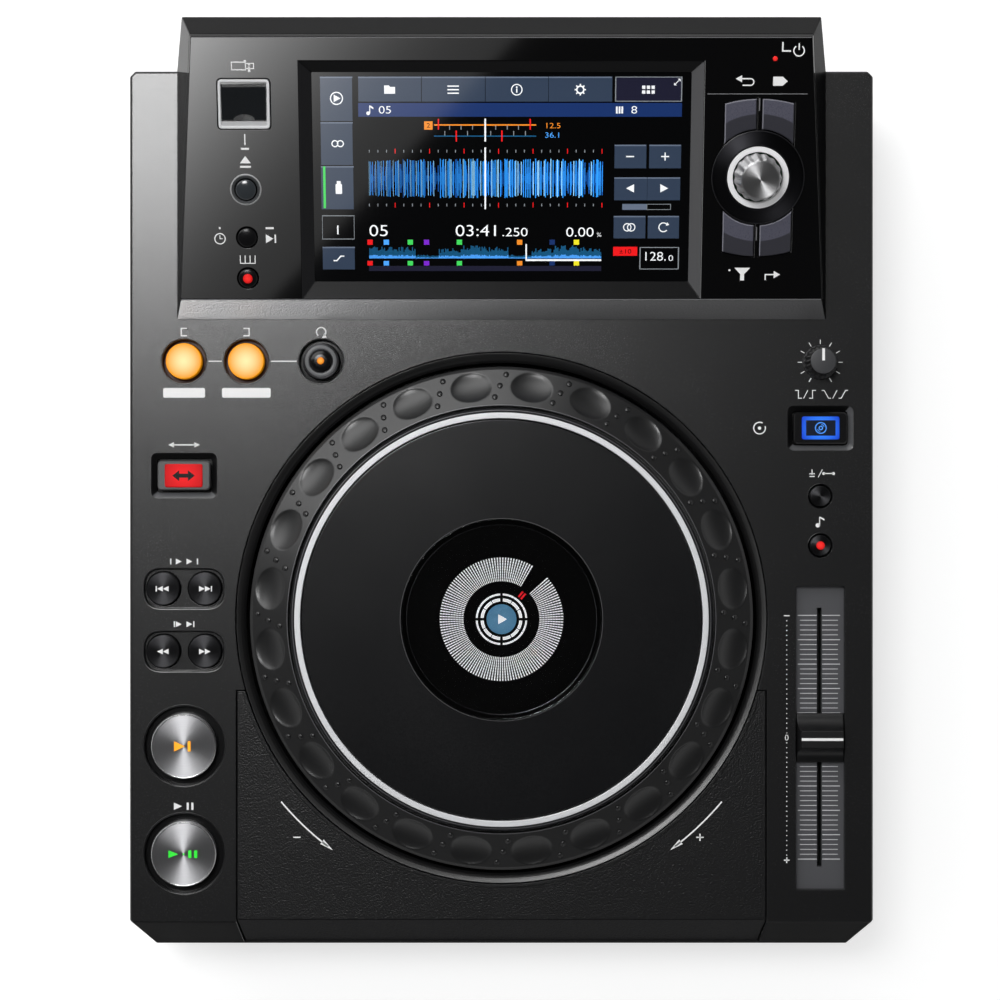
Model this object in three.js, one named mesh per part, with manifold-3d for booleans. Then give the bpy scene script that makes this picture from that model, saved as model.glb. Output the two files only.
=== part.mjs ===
// A tabletop DJ multi player: a flat deck with a large jog wheel, button columns on
// both sides, a tempo fader, and a raised pod at the rear with a touch screen.
// Millimetres. +X is right, +Y is the rear, +Z is up. The origin is on the table,
// under the middle of the whole outline. The user sits at the -Y side.
import * as THREE from "three";
import { mergeVertices } from "three/addons/utils/BufferGeometryUtils.js";
import Module from "manifold-3d";

const wasm = await Module();
wasm.setup();

// Fits and fineness
const gap = 0.3; // between pieces that are fitted together
const overrun = 1; // how far a cut runs past what it cuts
const weld = 1e-3;
const jogSteps = 48; // facets round the jog wheel
const hubSteps = 36; // facets round what the jog wheel turns on
const knobSteps = 20; // facets round a knob, foot or large button
const buttonSteps = 16; // facets round a small button
const stemSteps = 6; // facets round a stem, post or pin
const cornerSteps = 2; // facets of a rounded corner
const dimpleSteps = 8;
const dimpleRings = 4;

// Case, in plan
const frontBevelRun = 14.8; // front lip to the deck's front edge
const deckEdgeToJog = 125.1; // deck's front edge to the jog wheel's centre
const jogHoleToPod = 13.3; // jog wheel's hole to the pod's foot
const podOverhang = 20; // how far the pod stands out behind the rear wall
const cueEdgeMargin = 6; // deck left beside the cue button's ring
const cornerCutX = 6.4;
const cornerCutY = 8.5;
const deckCornerCut = 0.9;
const rearCornerCut = 2.2;
const deckEdgeChamfer = 0.8;

// Case, in height
const footHeight = 5;
const bottomThickness = 1.2;
const lowerHeight = 32.8;
const upperHeight = 34;
const lipBand = 6; // upright band under the lip
const undercut = 12.5; // how far the front wall draws back to the bottom
const lowerWall = 2.5;
const lowerFlange = 9; // shelf that the bottom plate is screwed to
const deckThickness = 3;

// Front panel: the grained insert between the button columns
const seamInset = 0.6; // seam, inwards from the jog hole's side
const panelRearFromJog = 30; // panel's rear tips, in front of the jog centre
const panelSetback = 1;
const ledgeThickness = 2;
const ledgeReach = 3.2;

// Feet
const footRadius = 13;
const footTaper = 2;
const footFromSide = 30;
const footFromFront = 48;
const footFromRear = 34;

// Jog well, the fixed tray that the jog wheel turns in
const jogHoleRadius = 109.4;
const mouthInset = 3.9; // cone from the hole's edge to the throat
const mouthDepth = 7;
const wellWall = 2.8;
const wellFlange = 3.5;
const wellFlangeThickness = 1.7;
const wellDepth = 18.5;
const wellFloor = 2.5;
const bossRadius = 44;
const bossWall = 5.4;
const bossHeight = 21.5;
const bearingWall = 2.1;
const bearingLength = 19;
const displayThickness = 5.5;
const displayInset = 2;

// Jog wheel. Heights are above the deck.
const rimClearance = 1.9;
const rimWall = 3.8;
const rimWidth = 16.2;
const rimSkirtDrop = 4.5;
const rimShoulderRise = 3;
const rimShoulderChamfer = 1;
const rimTopRise = 11;
const rimUnderRun = 9.5;
const webRise = 6;
const webThickness = 2;
const dimpleCount = 24;
const dimpleInset = 7.9; // dimple centres, inwards from the rim's outside
const dimpleHalfLength = 8.4;
const dimpleHalfWidth = 6.1;
const dimpleDepth = 1.5;
const grooveWidth = 1;
const ringWidth = 4.3;
const ringChamferRun = 2;
const ringChamferDrop = 2.5;
const jogTopRise = 13;
const platterClearance = 0.6;
const platterThickness = 2;
const platterBumperInset = 8.2; // from the platter's edge
const platterBumperWall = 3;
const platterPress = 0.5; // how far the platter goes down
const windowRadius = 40.7;
const windowSeat = 2.2;
const windowSeatThickness = 1.2;
const windowSlotClearance = 0.3;
const hubWall = 3.3;
const hubFlangeReach = 6;
const hubFlangeThickness = 2;

// Gear on the hub, and the encoder pinion that it turns
const gearModule = 2;
const gearTeeth = 60;
const pinionTeeth = 12;
const gearRise = 3.5; // gear's underside above the well's floor
const gearThickness = 4;
const pinionThickness = 5.5;
const pinionDrop = 1; // pinion's underside below the gear's
const pinRadius = 2;
const toothRootShare = 0.36; // half a tooth's width as a share of the pitch
const toothTipShare = 0.13;
const addendumShare = 0.75; // tooth heights as shares of the module
const dedendumShare = 1.25;

// Push buttons
const buttonTravel = 1;
const flangeThickness = 2;
const flangeReach = 1; // how far a flange reaches past its hole
const stemRadius = 1.6;
const switchHeight = 3;
const switchWidth = 6;
const boardThickness = 1.6;
const deckBoardDepth = 13.1; // deck's top to the boards under it
const postRadius = 2.4;
const capChamfer = 0.5;

// Left column of the deck
const jogSideMargin = 1.35; // between the jog well and the track buttons' dish
const dishLength = 32.7;
const dishWidth = 16.3;
const dishDepth = 1.6;
const dishButtonRadius = 6.7;
const dishButtonPitch = 17.1;
const dishButtonRise = 0.6;
const cueHoleRadius = 16.4;
const cueCapRadius = 13.2;
const cueRise = 1.6;
const playFromFront = 28.2;
const cueFromPlay = 44.3;
const searchFromCue = 38.9;
const trackFromSearch = 25.8;
const directionFromTrack = 46.6;
const loopFromDirection = 47;
const leverHoleWidth = 26.2;
const leverHoleHeight = 17.6;
const directionCapWidth = 21.6;
const directionCapHeight = 12;
const leverRise = 1.2;
const leverCornerRadius = 2.4;
const loopFromPod = 17;
const loopHoleRadius = 8.9;
const loopCapRadius = 7.4;
const loopRise = 1.5;
const loopPitch = 25.6;
const reloopPitch = 56.4;

// Right column of the deck
const rightColumnShift = 0.6; // right column's extra distance from the middle
const speedFromPod = 17.4;
const speedKnobRadius = 5.6;
const speedSkirtRadius = 7;
const speedSkirtHeight = 2.2;
const speedKnobHeight = 10;
const speedShaftRadius = 3;
const speedPotRadius = 6;
const modeCapWidth = 22.1;
const modeCapHeight = 13;
const troughFromFront = 13.45;
const masterTempoFromTrough = 16.85;
const tempoRangeFromMaster = 20.3;
const modeFromTempoRange = 28;
const speedFromMode = 27.1;
const smallHoleRadius = 4.9;
const smallCapRadius = 4.2;
const smallRise = 0.8;

// Tempo fader
const faderTroughWidth = 19.9;
const faderTroughLength = 124.7;
const faderPlateThickness = 2;
const faderPlateLap = 2;
const faderSlotWidth = 1.95;
const faderSlotLength = 106.8;
const faderBodyWidth = 12;
const faderBodyHeight = 6.4;
const faderCapWidth = 19.3;
const faderCapLength = 20.2;
const faderCapBase = 1.6;
const faderCapHeight = 9.6;
const faderRidge = 7;
const faderWaistShare = 0.35; // of the run from the ridge's edge to the cap's end
const faderWaistRiseShare = 0.25;
const faderStemWidth = 1.3;
const faderStemLength = 6;
const faderStemDrop = 8.6;

// Pod at the rear
const riserRun = 7.4;
const riserRise = 10;
const podTilt = 13.43; // degrees
const podSideLean = 16; // degrees
const podWall = 2.5;
const podFootInset = 19.5; // pod's foot, inwards from the case's side
const controlStrip = 52.5; // pod's foot to the screen's recess, on both sides
const rearBevelRun = 12.4;
const rearBevelDrop = 22.5;
const faceThickness = 3;
const podWindowInset = 12.5; // deck opening under the pod, inwards from its foot
const podWindowFront = 9.9;
const podWindowRear = 6.5;

// Screen, on the pod's tilted face. Places on the face are from its middle and front edge.
const recessLength = 95.5;
const recessFront = 0.5;
const recessRear = 9.5; // face left behind the recess
const glassInsetSide = 5.1;
const glassInsetFront = 6.9;
const glassInsetRear = 4.8;
const glassLap = 2.5; // glass hidden under the face
const glassThickness = 1.8;
const lcdThickness = 5;

// Left side of the face
const leftControlInset = 22; // control line, outwards from the recess
const dataFromFront = 79;
const dataFrameWidth = 20.6;
const dataFrameHeight = 19.5;
const dataFrameRise = 0.8;
const dataFrameDepth = 6.5;
const dataFrameRadius = 1.6;
const coverWidth = 17.7;
const coverHeight = 13.7;
const coverShift = 0.55;
const coverThickness = 1.4;
const coverDrop = 0.2; // cover's top below the frame's top
const coverBarrelRadius = 0.9;
const coverPinRadius = 0.5;
const coverPinLength = 0.7;
const coverWellDepth = 2.6;
const dataSlotWidth = 12.5;
const dataSlotHeight = 5.1;
const dataShell = 0.8;
const dataSocketDepth = 14;
const dataMouthDepth = 12.5;
const stopFromFront = 44.9;
const stopCapRadius = 4.15;
const stopRise = 1.4;
const timeFromFront = 25.5;
const quantizeFromFront = 8.9;
const faceCapRadius = 3.9;
const faceCapRise = 0.7;
const faceHoleClearance = 0.35;

// Right side of the face: the rotary selector and four buttons round it
const rightControlInset = 22.2;
const selectorFromFront = 49.8;
const bezelRadius = 18.6;
const bezelEdge = 0.5;
const bezelCrownRise = 1.6;
const bezelCrownInset = 0.8;
const bezelDipRise = 0.9;
const lightRingRadius = 12.4;
const lightRingRise = 1.5;
const bezelBore = 10.2;
const bezelCollarWall = 1;
const bezelCollarDepth = 2.6;
const knobRadius = 9.7;
const knobTopRadius = 7.9;
const knobScallops = 15;
const knobScallopDepth = 0.5;
const scallopSteps = 3;
const knobHeight = 11.5;
const knobSink = 1.2;
const knobCrown = 1.2;
const selectorShaftRadius = 3;
const selectorBodyRadius = 6;
const selectorBodyHeight = 5.4;
const segmentInner = 19.3; // inner arc of the four buttons
const segmentOuter = 50; // outer arc's own radius
const segmentTop = 31.3; // arc's crown above the selector's centre
const segmentBottom = 31.8;
const segmentWidth = 12.6;
const segmentDivider = 2.4;
const segmentRise = 1.2;
const segmentClearance = 0.35;
const segmentFlangeReach = 0.45;

// Boards and power supply inside
const displayBoardFront = 5;
const displayBoardRear = 11;
const displayBoardEdge = 4.5;
const columnBoardInset = 4;
const boardNotchMargin = 4; // round the data socket
const boardFromFront = 8;
const rightBoardFromFront = 4;
const boardFromPod = 5;
const legFront = 8.5;
const legRear = 9.5;
const legEnd = 12;
const mainBoardStandoff = 5.8;
const mainBoardDepth = 108;
const mainBoardFromSide = 7;
const mainBoardFromSupply = 8.5;
const mainBoardFromRear = 9.5;
const standoffInset = 9;
const standoffRadius = 3.2;
const chipWidth = 32;
const chipHeight = 4;
const supplyWidth = 66;
const supplyDepth = 92;
const supplyHeight = 38;
const supplyFromSide = 14;
const supplyFromRear = 40;

// Sockets and power button in the rear wall
const inletFromSide = 36;
const inletWidth = 27.5;
const inletHeight = 20;
const inletDepth = 24;
const inletWall = 1.6;
const inletCavityDepth = 17;
const inletPinWidth = 4;
const inletPinThickness = 2;
const inletPinSink = 5.5;
const inletPinPitch = 7;
const rearProud = 0.6;
const rearSocketHeight = 17; // middle of the inlet and the power button above the bottom
const powerFromInlet = 38;
const powerRadius = 5;
const powerLength = 14;
const powerProud = 1; // left standing out when pressed
const powerTravel = 3;
const powerFlangeReach = 1.6;
const audioFromSide = 50;
const audioBlockWidth = 46;
const audioBlockHeight = 12;
const audioBlockDepth = 14;
const jackPitch = 15;
const jackRadius = 4.2;
const jackBore = 1.7;
const jackLength = 9;
const networkFromSide = 128;
const networkWidth = 16;
const networkHeight = 13.5;
const networkDepth = 21;
const networkCavityWidth = 11.7;
const networkCavityHeight = 8;
const computerFromSide = 98;
const computerWidth = 12;
const computerHeight = 11.2;
const computerDepth = 16.5;
const computerCavityWidth = 8.45;
const computerCavityHeight = 7.8;
const portCavityDepth = 12;

// Derived places
const tilt = THREE.MathUtils.degToRad(podTilt);
const faceLength = recessFront + recessLength + recessRear;
const jogRun = deckEdgeToJog + jogHoleRadius + jogHoleToPod;
const leftRun =
  playFromFront +
  cueFromPlay +
  searchFromCue +
  trackFromSearch +
  directionFromTrack +
  loopFromDirection +
  loopFromPod;
const rightRun =
  troughFromFront +
  faderTroughLength +
  masterTempoFromTrough +
  tempoRangeFromMaster +
  modeFromTempoRange +
  speedFromMode +
  speedFromPod;
const deckLength = Math.max(jogRun, leftRun, rightRun); // the longest row sets the pod's place
const caseDepth =
  frontBevelRun +
  deckLength +
  riserRun +
  faceLength * Math.cos(tilt) +
  rearBevelRun -
  podOverhang;
const frontY = -(caseDepth + podOverhang) / 2;
const rearY = frontY + caseDepth;
const deckFrontY = frontY + frontBevelRun;
const jogY = deckFrontY + deckEdgeToJog;
const podFrontY = deckFrontY + deckLength;
const faceY = podFrontY + riserRun;
const ridgeY = faceY + faceLength * Math.cos(tilt);
const podRearY = ridgeY + rearBevelRun;

const plateTop = footHeight + bottomThickness;
const lipZ = plateTop + lowerHeight;
const deckZ = lipZ + upperHeight;
const deckUnder = deckZ - deckThickness;
const faceZ = deckZ + riserRise;
const ridgeZ = faceZ + faceLength * Math.sin(tilt);

const wellOuter = jogHoleRadius - gap;
const wellFlangeRadius = jogHoleRadius + wellFlange;
const columnX = wellFlangeRadius + jogSideMargin + dishLength / 2;
const leftX = -columnX;
const rightX = columnX + rightColumnShift;
const caseHalf = columnX + cueHoleRadius + cueEdgeMargin;
const seamX = jogHoleRadius - seamInset;
const panelRearY = jogY - panelRearFromJog;

const throatRadius = wellOuter - mouthInset;
const wellFloorZ = deckZ - wellDepth;
const bossTop = wellFloorZ + bossHeight;
const bearingRadius = bossRadius + gap + bearingWall;
const hubInner = bearingRadius + gap;
const hubOuter = hubInner + hubWall;
const rimRadius = throatRadius - rimClearance;
const rimInner = rimRadius - rimWidth;
const webTop = deckZ + webRise;
const webUnder = webTop - webThickness;
const ringOuter = rimInner - grooveWidth;
const ringInner = ringOuter - ringWidth;
const platterRadius = ringInner - platterClearance;
const platterBumperRadius = platterRadius - platterBumperInset;
const jogTop = deckZ + jogTopRise;
const gearPitchRadius = (gearModule * gearTeeth) / 2;
const pinionPitchRadius = (gearModule * pinionTeeth) / 2;
const pinionX = gearPitchRadius + pinionPitchRadius;
const gearZ = wellFloorZ + gearRise;

const deckBoardZ = deckZ - deckBoardDepth;
const faceBoardDepth = faceThickness + glassThickness + lcdThickness + gap + gap + gap;
const podFootHalf = caseHalf - podFootInset;
const podWindowHalf = podFootHalf - podWindowInset;
const recessHalfWidth = podFootHalf - controlStrip;
const leftU = -(recessHalfWidth + leftControlInset);
const rightU = recessHalfWidth + rightControlInset;

const playY = deckFrontY + playFromFront;
const cueY = playY + cueFromPlay;
const searchY = cueY + searchFromCue;
const trackY = searchY + trackFromSearch;
const directionY = trackY + directionFromTrack;
const loopY = directionY + loopFromDirection;
const faderY = deckFrontY + troughFromFront + faderTroughLength / 2;
const masterTempoY = faderY + faderTroughLength / 2 + masterTempoFromTrough;
const tempoRangeY = masterTempoY + tempoRangeFromMaster;
const modeY = tempoRangeY + modeFromTempoRange;
const speedY = modeY + speedFromMode;

// Materials

function plastic(color, roughness) {
  return new THREE.MeshStandardMaterial({ color, roughness, metalness: 0, flatShading: true });
}

function metal(color, roughness) {
  return new THREE.MeshStandardMaterial({ color, roughness, metalness: 1, flatShading: true });
}

const satinBlack = plastic(0x202123, 0.45);
const grainedBlack = plastic(0x1b1c1e, 0.7);
const glossBlack = plastic(0x0c0c0e, 0.15);
const rubberBlack = plastic(0x141414, 0.9);
const rimGrey = plastic(0x2f3032, 0.55);
const buttonGrey = plastic(0x55565c, 0.5);
const scaleGrey = plastic(0x4a4b50, 0.6);
const litOrange = plastic(0xf08a24, 0.4);
const litRed = plastic(0xd0202a, 0.4);
const litBlue = plastic(0x2f7fe0, 0.4);
const frostedWhite = plastic(0xf2f2f0, 0.5);
const darkGlass = plastic(0x101216, 0.05);
const boardGreen = plastic(0x1f5a35, 0.6);
const spunMetal = metal(0x8d8e92, 0.3);
const silver = metal(0xd9dadc, 0.25);
const sheetSteel = metal(0x8a8c8f, 0.4);
const bearingPlastic = plastic(0xd8d4c4, 0.5);

// Solids from three.js shapes

function solid(geometry) {
  const loose = geometry.index ? geometry.toNonIndexed() : geometry;
  const bare = new THREE.BufferGeometry();
  bare.setAttribute("position", loose.getAttribute("position"));
  const merged = mergeVertices(bare, weld);
  return new wasm.Manifold(
    new wasm.Mesh({
      numProp: 3,
      vertProperties: merged.attributes.position.array,
      triVerts: new Uint32Array(merged.index.array),
    }),
  );
}

function geometryOf(body) {
  const mesh = body.getMesh();
  const geometry = new THREE.BufferGeometry();
  const position = new THREE.BufferAttribute(new Float32Array(mesh.vertProperties), 3);
  geometry.setAttribute("position", position);
  geometry.setIndex(new THREE.BufferAttribute(new Uint32Array(mesh.triVerts), 1));
  geometry.computeVertexNormals();
  return geometry;
}

function joined(...bodies) {
  return bodies.reduce((whole, body) => whole.add(body));
}

function cut(body, ...tools) {
  return tools.reduce((rest, tool) => rest.subtract(tool), body);
}

function moved(body, x, y, z) {
  return body.translate([x, y, z]);
}

// A box from its low corner to its high corner.
function box(low, high) {
  const size = high.map((value, i) => value - low[i]);
  const middle = high.map((value, i) => (value + low[i]) / 2);
  const geometry = new THREE.BoxGeometry(...size);
  geometry.translate(...middle);
  return solid(geometry);
}

// A box with its middle in plan at x, y, standing from low to high.
function block(x, y, width, depth, low, high) {
  return box([x - width / 2, y - depth / 2, low], [x + width / 2, y + depth / 2, high]);
}

function shapeOf(points) {
  return new THREE.Shape(points.map(([x, y]) => new THREE.Vector2(x, y)));
}

// A shape in plan, standing from low to high.
function upright(shape, low, high, steps = cornerSteps) {
  const geometry = new THREE.ExtrudeGeometry(shape, {
    depth: high - low,
    bevelEnabled: false,
    curveSegments: steps,
  });
  geometry.translate(0, 0, low);
  return solid(geometry);
}

// An outline of [y, z] points, running along X from -half to +half.
function sideways(outline, half) {
  const geometry = new THREE.ExtrudeGeometry(shapeOf(outline), {
    depth: half + half,
    bevelEnabled: false,
  });
  geometry.translate(0, 0, -half);
  const turn = new THREE.Matrix4().makeBasis(
    new THREE.Vector3(0, 1, 0),
    new THREE.Vector3(0, 0, 1),
    new THREE.Vector3(1, 0, 0),
  );
  geometry.applyMatrix4(turn);
  return solid(geometry);
}

// An outline of [x, z] points, running along Y from near to far.
function lengthways(outline, near, far) {
  const geometry = new THREE.ExtrudeGeometry(shapeOf(outline), {
    depth: far - near,
    bevelEnabled: false,
  });
  geometry.rotateX(Math.PI / 2);
  geometry.translate(0, far, 0);
  return solid(geometry);
}

// A profile of [radius, z] points turned about the Z axis. One that stays off the
// axis is closed on itself.
function turned(profile, steps) {
  const onAxis = profile[0][0] === 0;
  const points = onAxis ? profile : [...profile, profile[0]];
  const geometry = new THREE.LatheGeometry(
    points.map(([radius, z]) => new THREE.Vector2(radius, z)),
    steps,
  );
  geometry.rotateX(Math.PI / 2);
  return solid(geometry);
}

function rod(x, y, radius, low, high, steps = knobSteps) {
  const profile = [
    [0, low],
    [radius, low],
    [radius, high],
    [0, high],
  ];
  return moved(turned(profile, steps), x, y, 0);
}

// A stack of convex outlines, each with the same number of points.
function lofted(sections) {
  const count = sections[0].outline.length;
  const positions = [];
  const corner = (section, i) => {
    const [x, y] = section.outline[i % count];
    return [x, y, section.z];
  };
  for (let level = 1; level < sections.length; level++) {
    const under = sections[level - 1];
    const over = sections[level];
    for (let i = 0; i < count; i++) {
      positions.push(...corner(under, i), ...corner(under, i + 1), ...corner(over, i + 1));
      positions.push(...corner(under, i), ...corner(over, i + 1), ...corner(over, i));
    }
  }
  const bottom = sections[0];
  const top = sections[sections.length - 1];
  for (let i = 1; i + 1 < count; i++) {
    positions.push(...corner(bottom, 0), ...corner(bottom, i + 1), ...corner(bottom, i));
    positions.push(...corner(top, 0), ...corner(top, i), ...corner(top, i + 1));
  }
  const geometry = new THREE.BufferGeometry();
  const array = new Float32Array(positions);
  geometry.setAttribute("position", new THREE.BufferAttribute(array, 3));
  return solid(geometry);
}

// A convex outline, anticlockwise, drawn in by a distance on every side.
function drawnIn(outline, distance) {
  const count = outline.length;
  const edges = outline.map(([x, y], i) => {
    const [nextX, nextY] = outline[(i + 1) % count];
    const length = Math.hypot(nextX - x, nextY - y);
    const nx = -(nextY - y) / length;
    const ny = (nextX - x) / length;
    return { nx, ny, offset: nx * x + ny * y + distance };
  });
  return outline.map((point, i) => {
    const a = edges[(i + count - 1) % count];
    const b = edges[i];
    const cross = a.nx * b.ny - a.ny * b.nx;
    const x = (a.offset * b.ny - b.offset * a.ny) / cross;
    const y = (a.nx * b.offset - b.nx * a.offset) / cross;
    return [x, y];
  });
}

function circle(radius) {
  const shape = new THREE.Shape();
  shape.absarc(0, 0, radius, 0, Math.PI + Math.PI, false);
  return shape;
}

function roundedRectangle(width, height, radius) {
  const x = width / 2 - radius;
  const y = height / 2 - radius;
  const quarter = Math.PI / 2;
  const shape = new THREE.Shape();
  shape.absarc(x, -y, radius, -quarter, 0, false);
  shape.absarc(x, y, radius, 0, quarter, false);
  shape.absarc(-x, y, radius, quarter, Math.PI, false);
  shape.absarc(-x, -y, radius, Math.PI, Math.PI + quarter, false);
  return shape;
}

function grownRectangle(width, height, radius, grow) {
  return roundedRectangle(width + grow + grow, height + grow + grow, radius + grow);
}

// The case

function caseOutline(front, cutX, cutY, rearCut, side = caseHalf, rear = rearY) {
  return [
    [-side + cutX, front],
    [side - cutX, front],
    [side, front + cutY],
    [side, rear - rearCut],
    [side - rearCut, rear],
    [-side + rearCut, rear],
    [-side, rear - rearCut],
    [-side, front + cutY],
  ];
}

// The case's outline drawn in by a wall. Its corners are cut more, so none turns over.
function innerOutline(front, inset) {
  const outline = caseOutline(
    front,
    cornerCutX + inset,
    cornerCutY + inset,
    rearCornerCut + inset,
  );
  return drawnIn(outline, inset);
}

// How far the front stands back at a height between the lip and the deck.
function bevelAt(z) {
  return (frontBevelRun * (z - lipZ)) / upperHeight;
}

// The upper case's outside, drawn in by a wall on every side but the bottom.
function upperForm(inset, setback = 0) {
  const top = deckZ - inset;
  const low = inset > 0 ? lipZ - overrun : lipZ;
  const shoulder = top - deckEdgeChamfer;
  const cutShare = (z) => 1 - (z - lipZ) / upperHeight;
  const section = (z) => {
    const front = frontY + setback + bevelAt(z);
    if (inset > 0) {
      return innerOutline(front, inset);
    }
    const cutX = deckCornerCut + (cornerCutX - deckCornerCut) * cutShare(z);
    const cutY = deckCornerCut + (cornerCutY - deckCornerCut) * cutShare(z);
    return caseOutline(front, cutX, cutY, rearCornerCut);
  };
  const pull = (deckEdgeChamfer * frontBevelRun) / upperHeight - deckEdgeChamfer;
  const crown = drawnIn(section(shoulder), deckEdgeChamfer);
  const flush = crown.map(([x, y]) => [x, y < jogY ? y + pull : y]);
  return lofted([
    { z: low, outline: section(low) },
    { z: shoulder, outline: section(shoulder) },
    { z: top, outline: flush },
  ]);
}

function lowerForm(inset) {
  const section = (back) =>
    inset > 0
      ? innerOutline(frontY + back, inset)
      : caseOutline(frontY + back, cornerCutX, cornerCutY, rearCornerCut);
  const low = inset > 0 ? plateTop + lowerWall : plateTop;
  const high = inset > 0 ? lipZ + overrun : lipZ;
  const band = lipZ - lipBand;
  return lofted([
    { z: low, outline: section((undercut * (band - low)) / (band - plateTop)) },
    { z: band, outline: section(0) },
    { z: high, outline: section(0) },
  ]);
}

const bottomOutline = caseOutline(frontY + undercut, cornerCutX, cornerCutY, rearCornerCut);

// Main board's middle and the posts that hold it
const supplyX = -caseHalf + supplyFromSide;
const mainBoardLeft = supplyX + supplyWidth + mainBoardFromSupply;
const mainBoardRight = caseHalf - lowerWall - mainBoardFromSide;
const mainBoardWidth = mainBoardRight - mainBoardLeft;
const mainBoardX = (mainBoardLeft + mainBoardRight) / 2;
const mainBoardY = rearY - mainBoardFromRear - mainBoardDepth / 2;
const mainBoardZ = plateTop + mainBoardStandoff;
const mainBoardTop = mainBoardZ + boardThickness;

function bottomPlate() {
  const sheet = lofted([
    { z: footHeight, outline: bottomOutline },
    { z: plateTop, outline: bottomOutline },
  ]);
  const standoffs = [];
  for (const side of [-1, 1]) {
    for (const end of [-1, 1]) {
      const x = mainBoardX + side * (mainBoardWidth / 2 - standoffInset);
      const y = mainBoardY + end * (mainBoardDepth / 2 - standoffInset);
      standoffs.push(rod(x, y, standoffRadius, footHeight, mainBoardZ, stemSteps));
    }
  }
  return joined(sheet, ...standoffs);
}

// Places of the rear sockets
const socketZ = plateTop + rearSocketHeight;
const inletX = -caseHalf + inletFromSide;
const powerX = inletX + powerFromInlet;
const audioX = caseHalf - audioFromSide;
const computerX = caseHalf - computerFromSide;
const networkX = caseHalf - networkFromSide;
const audioZ = mainBoardTop + audioBlockHeight / 2;
const jackPlaces = [-1, 0, 1].map((place) => audioX + place * jackPitch);

// A hole through the rear wall for a socket, with a gap all round.
function rearHole(x, z, width, height) {
  const half = width / 2 + gap;
  const tall = height / 2 + gap;
  return box(
    [x - half, rearY - lowerWall - overrun, z - tall],
    [x + half, rearY + overrun, z + tall],
  );
}

function alongY(x, z, radius, near, far, steps = knobSteps) {
  const geometry = new THREE.CylinderGeometry(radius, radius, far - near, steps);
  geometry.translate(x, (near + far) / 2, z);
  return solid(geometry);
}

function lowerCase() {
  const flangeInside = innerOutline(frontY + undercut, lowerFlange);
  const window = lofted([
    { z: footHeight, outline: flangeInside },
    { z: plateTop + lowerWall + overrun, outline: flangeInside },
  ]);
  const wallNear = rearY - lowerWall - overrun;
  const jackHoles = jackPlaces.map((x) =>
    alongY(x, audioZ, jackRadius + gap, wallNear, rearY + overrun),
  );
  return cut(
    lowerForm(0),
    lowerForm(lowerWall),
    window,
    rearHole(inletX, socketZ, inletWidth, inletHeight),
    rearHole(networkX, mainBoardTop + networkHeight / 2, networkWidth, networkHeight),
    rearHole(computerX, mainBoardTop + computerHeight / 2, computerWidth, computerHeight),
    alongY(powerX, socketZ, powerRadius + gap, wallNear, rearY + overrun),
    ...jackHoles,
  );
}

// The front panel's zone in plan, grown on its seams.
function panelZone(grow) {
  const half = seamX + grow;
  return box(
    [-half, frontY - overrun, lipZ - overrun],
    [half, panelRearY + grow, deckZ + overrun],
  );
}

// Push buttons of the deck. A hole's middle is at x, y.
const loopOutX = leftX + loopPitch;
const reloopX = leftX + reloopPitch;
const roundButtons = [
  { name: "loop_in_button", x: leftX, y: loopY, hole: loopHoleRadius, cap: loopCapRadius,
    rise: loopRise, material: litOrange },
  { name: "loop_out_button", x: loopOutX, y: loopY, hole: loopHoleRadius,
    cap: loopCapRadius, rise: loopRise, material: litOrange },
  { name: "reloop_button", x: reloopX, y: loopY, hole: loopHoleRadius, cap: loopCapRadius,
    rise: loopRise, material: buttonGrey },
  { name: "cue_button", x: leftX, y: cueY, hole: cueHoleRadius, cap: cueCapRadius,
    rise: cueRise, material: spunMetal },
  { name: "play_button", x: leftX, y: playY, hole: cueHoleRadius, cap: cueCapRadius,
    rise: cueRise, material: spunMetal },
  { name: "tempo_range_button", x: rightX, y: tempoRangeY, hole: smallHoleRadius,
    cap: smallCapRadius, rise: smallRise, material: buttonGrey },
  { name: "master_tempo_button", x: rightX, y: masterTempoY, hole: smallHoleRadius,
    cap: smallCapRadius, rise: smallRise, material: litRed },
];
const dishes = [
  { y: trackY, back: "track_back_button", forward: "track_forward_button" },
  { y: searchY, back: "search_back_button", forward: "search_forward_button" },
];
const dishButtons = dishes.flatMap(({ y, back, forward }) => [
  { name: back, x: leftX - dishButtonPitch / 2, y },
  { name: forward, x: leftX + dishButtonPitch / 2, y },
]);
const dishHoleRadius = dishButtonRadius + gap;
const plateButtons = [
  { name: "direction_button", x: leftX, y: directionY, width: directionCapWidth,
    height: directionCapHeight, material: litRed },
  { name: "jog_mode_button", x: rightX, y: modeY, width: modeCapWidth,
    height: modeCapHeight, material: litBlue },
];

// Posts under the deck that hold the column boards, clear of the buttons' flanges
const leftPosts = [
  [leftX, (playY + cueY) / 2],
  [leftX, (trackY + directionY - leverHoleHeight / 2 + dishWidth / 2) / 2],
  [leftX, (directionY + leverHoleHeight / 2 + loopY - loopHoleRadius) / 2],
  [(loopOutX + reloopX) / 2, loopY],
];
const rightPosts = [
  [rightX, deckFrontY + troughFromFront / 2],
  [rightX, (tempoRangeY + smallHoleRadius + modeY - leverHoleHeight / 2) / 2],
];

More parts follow.
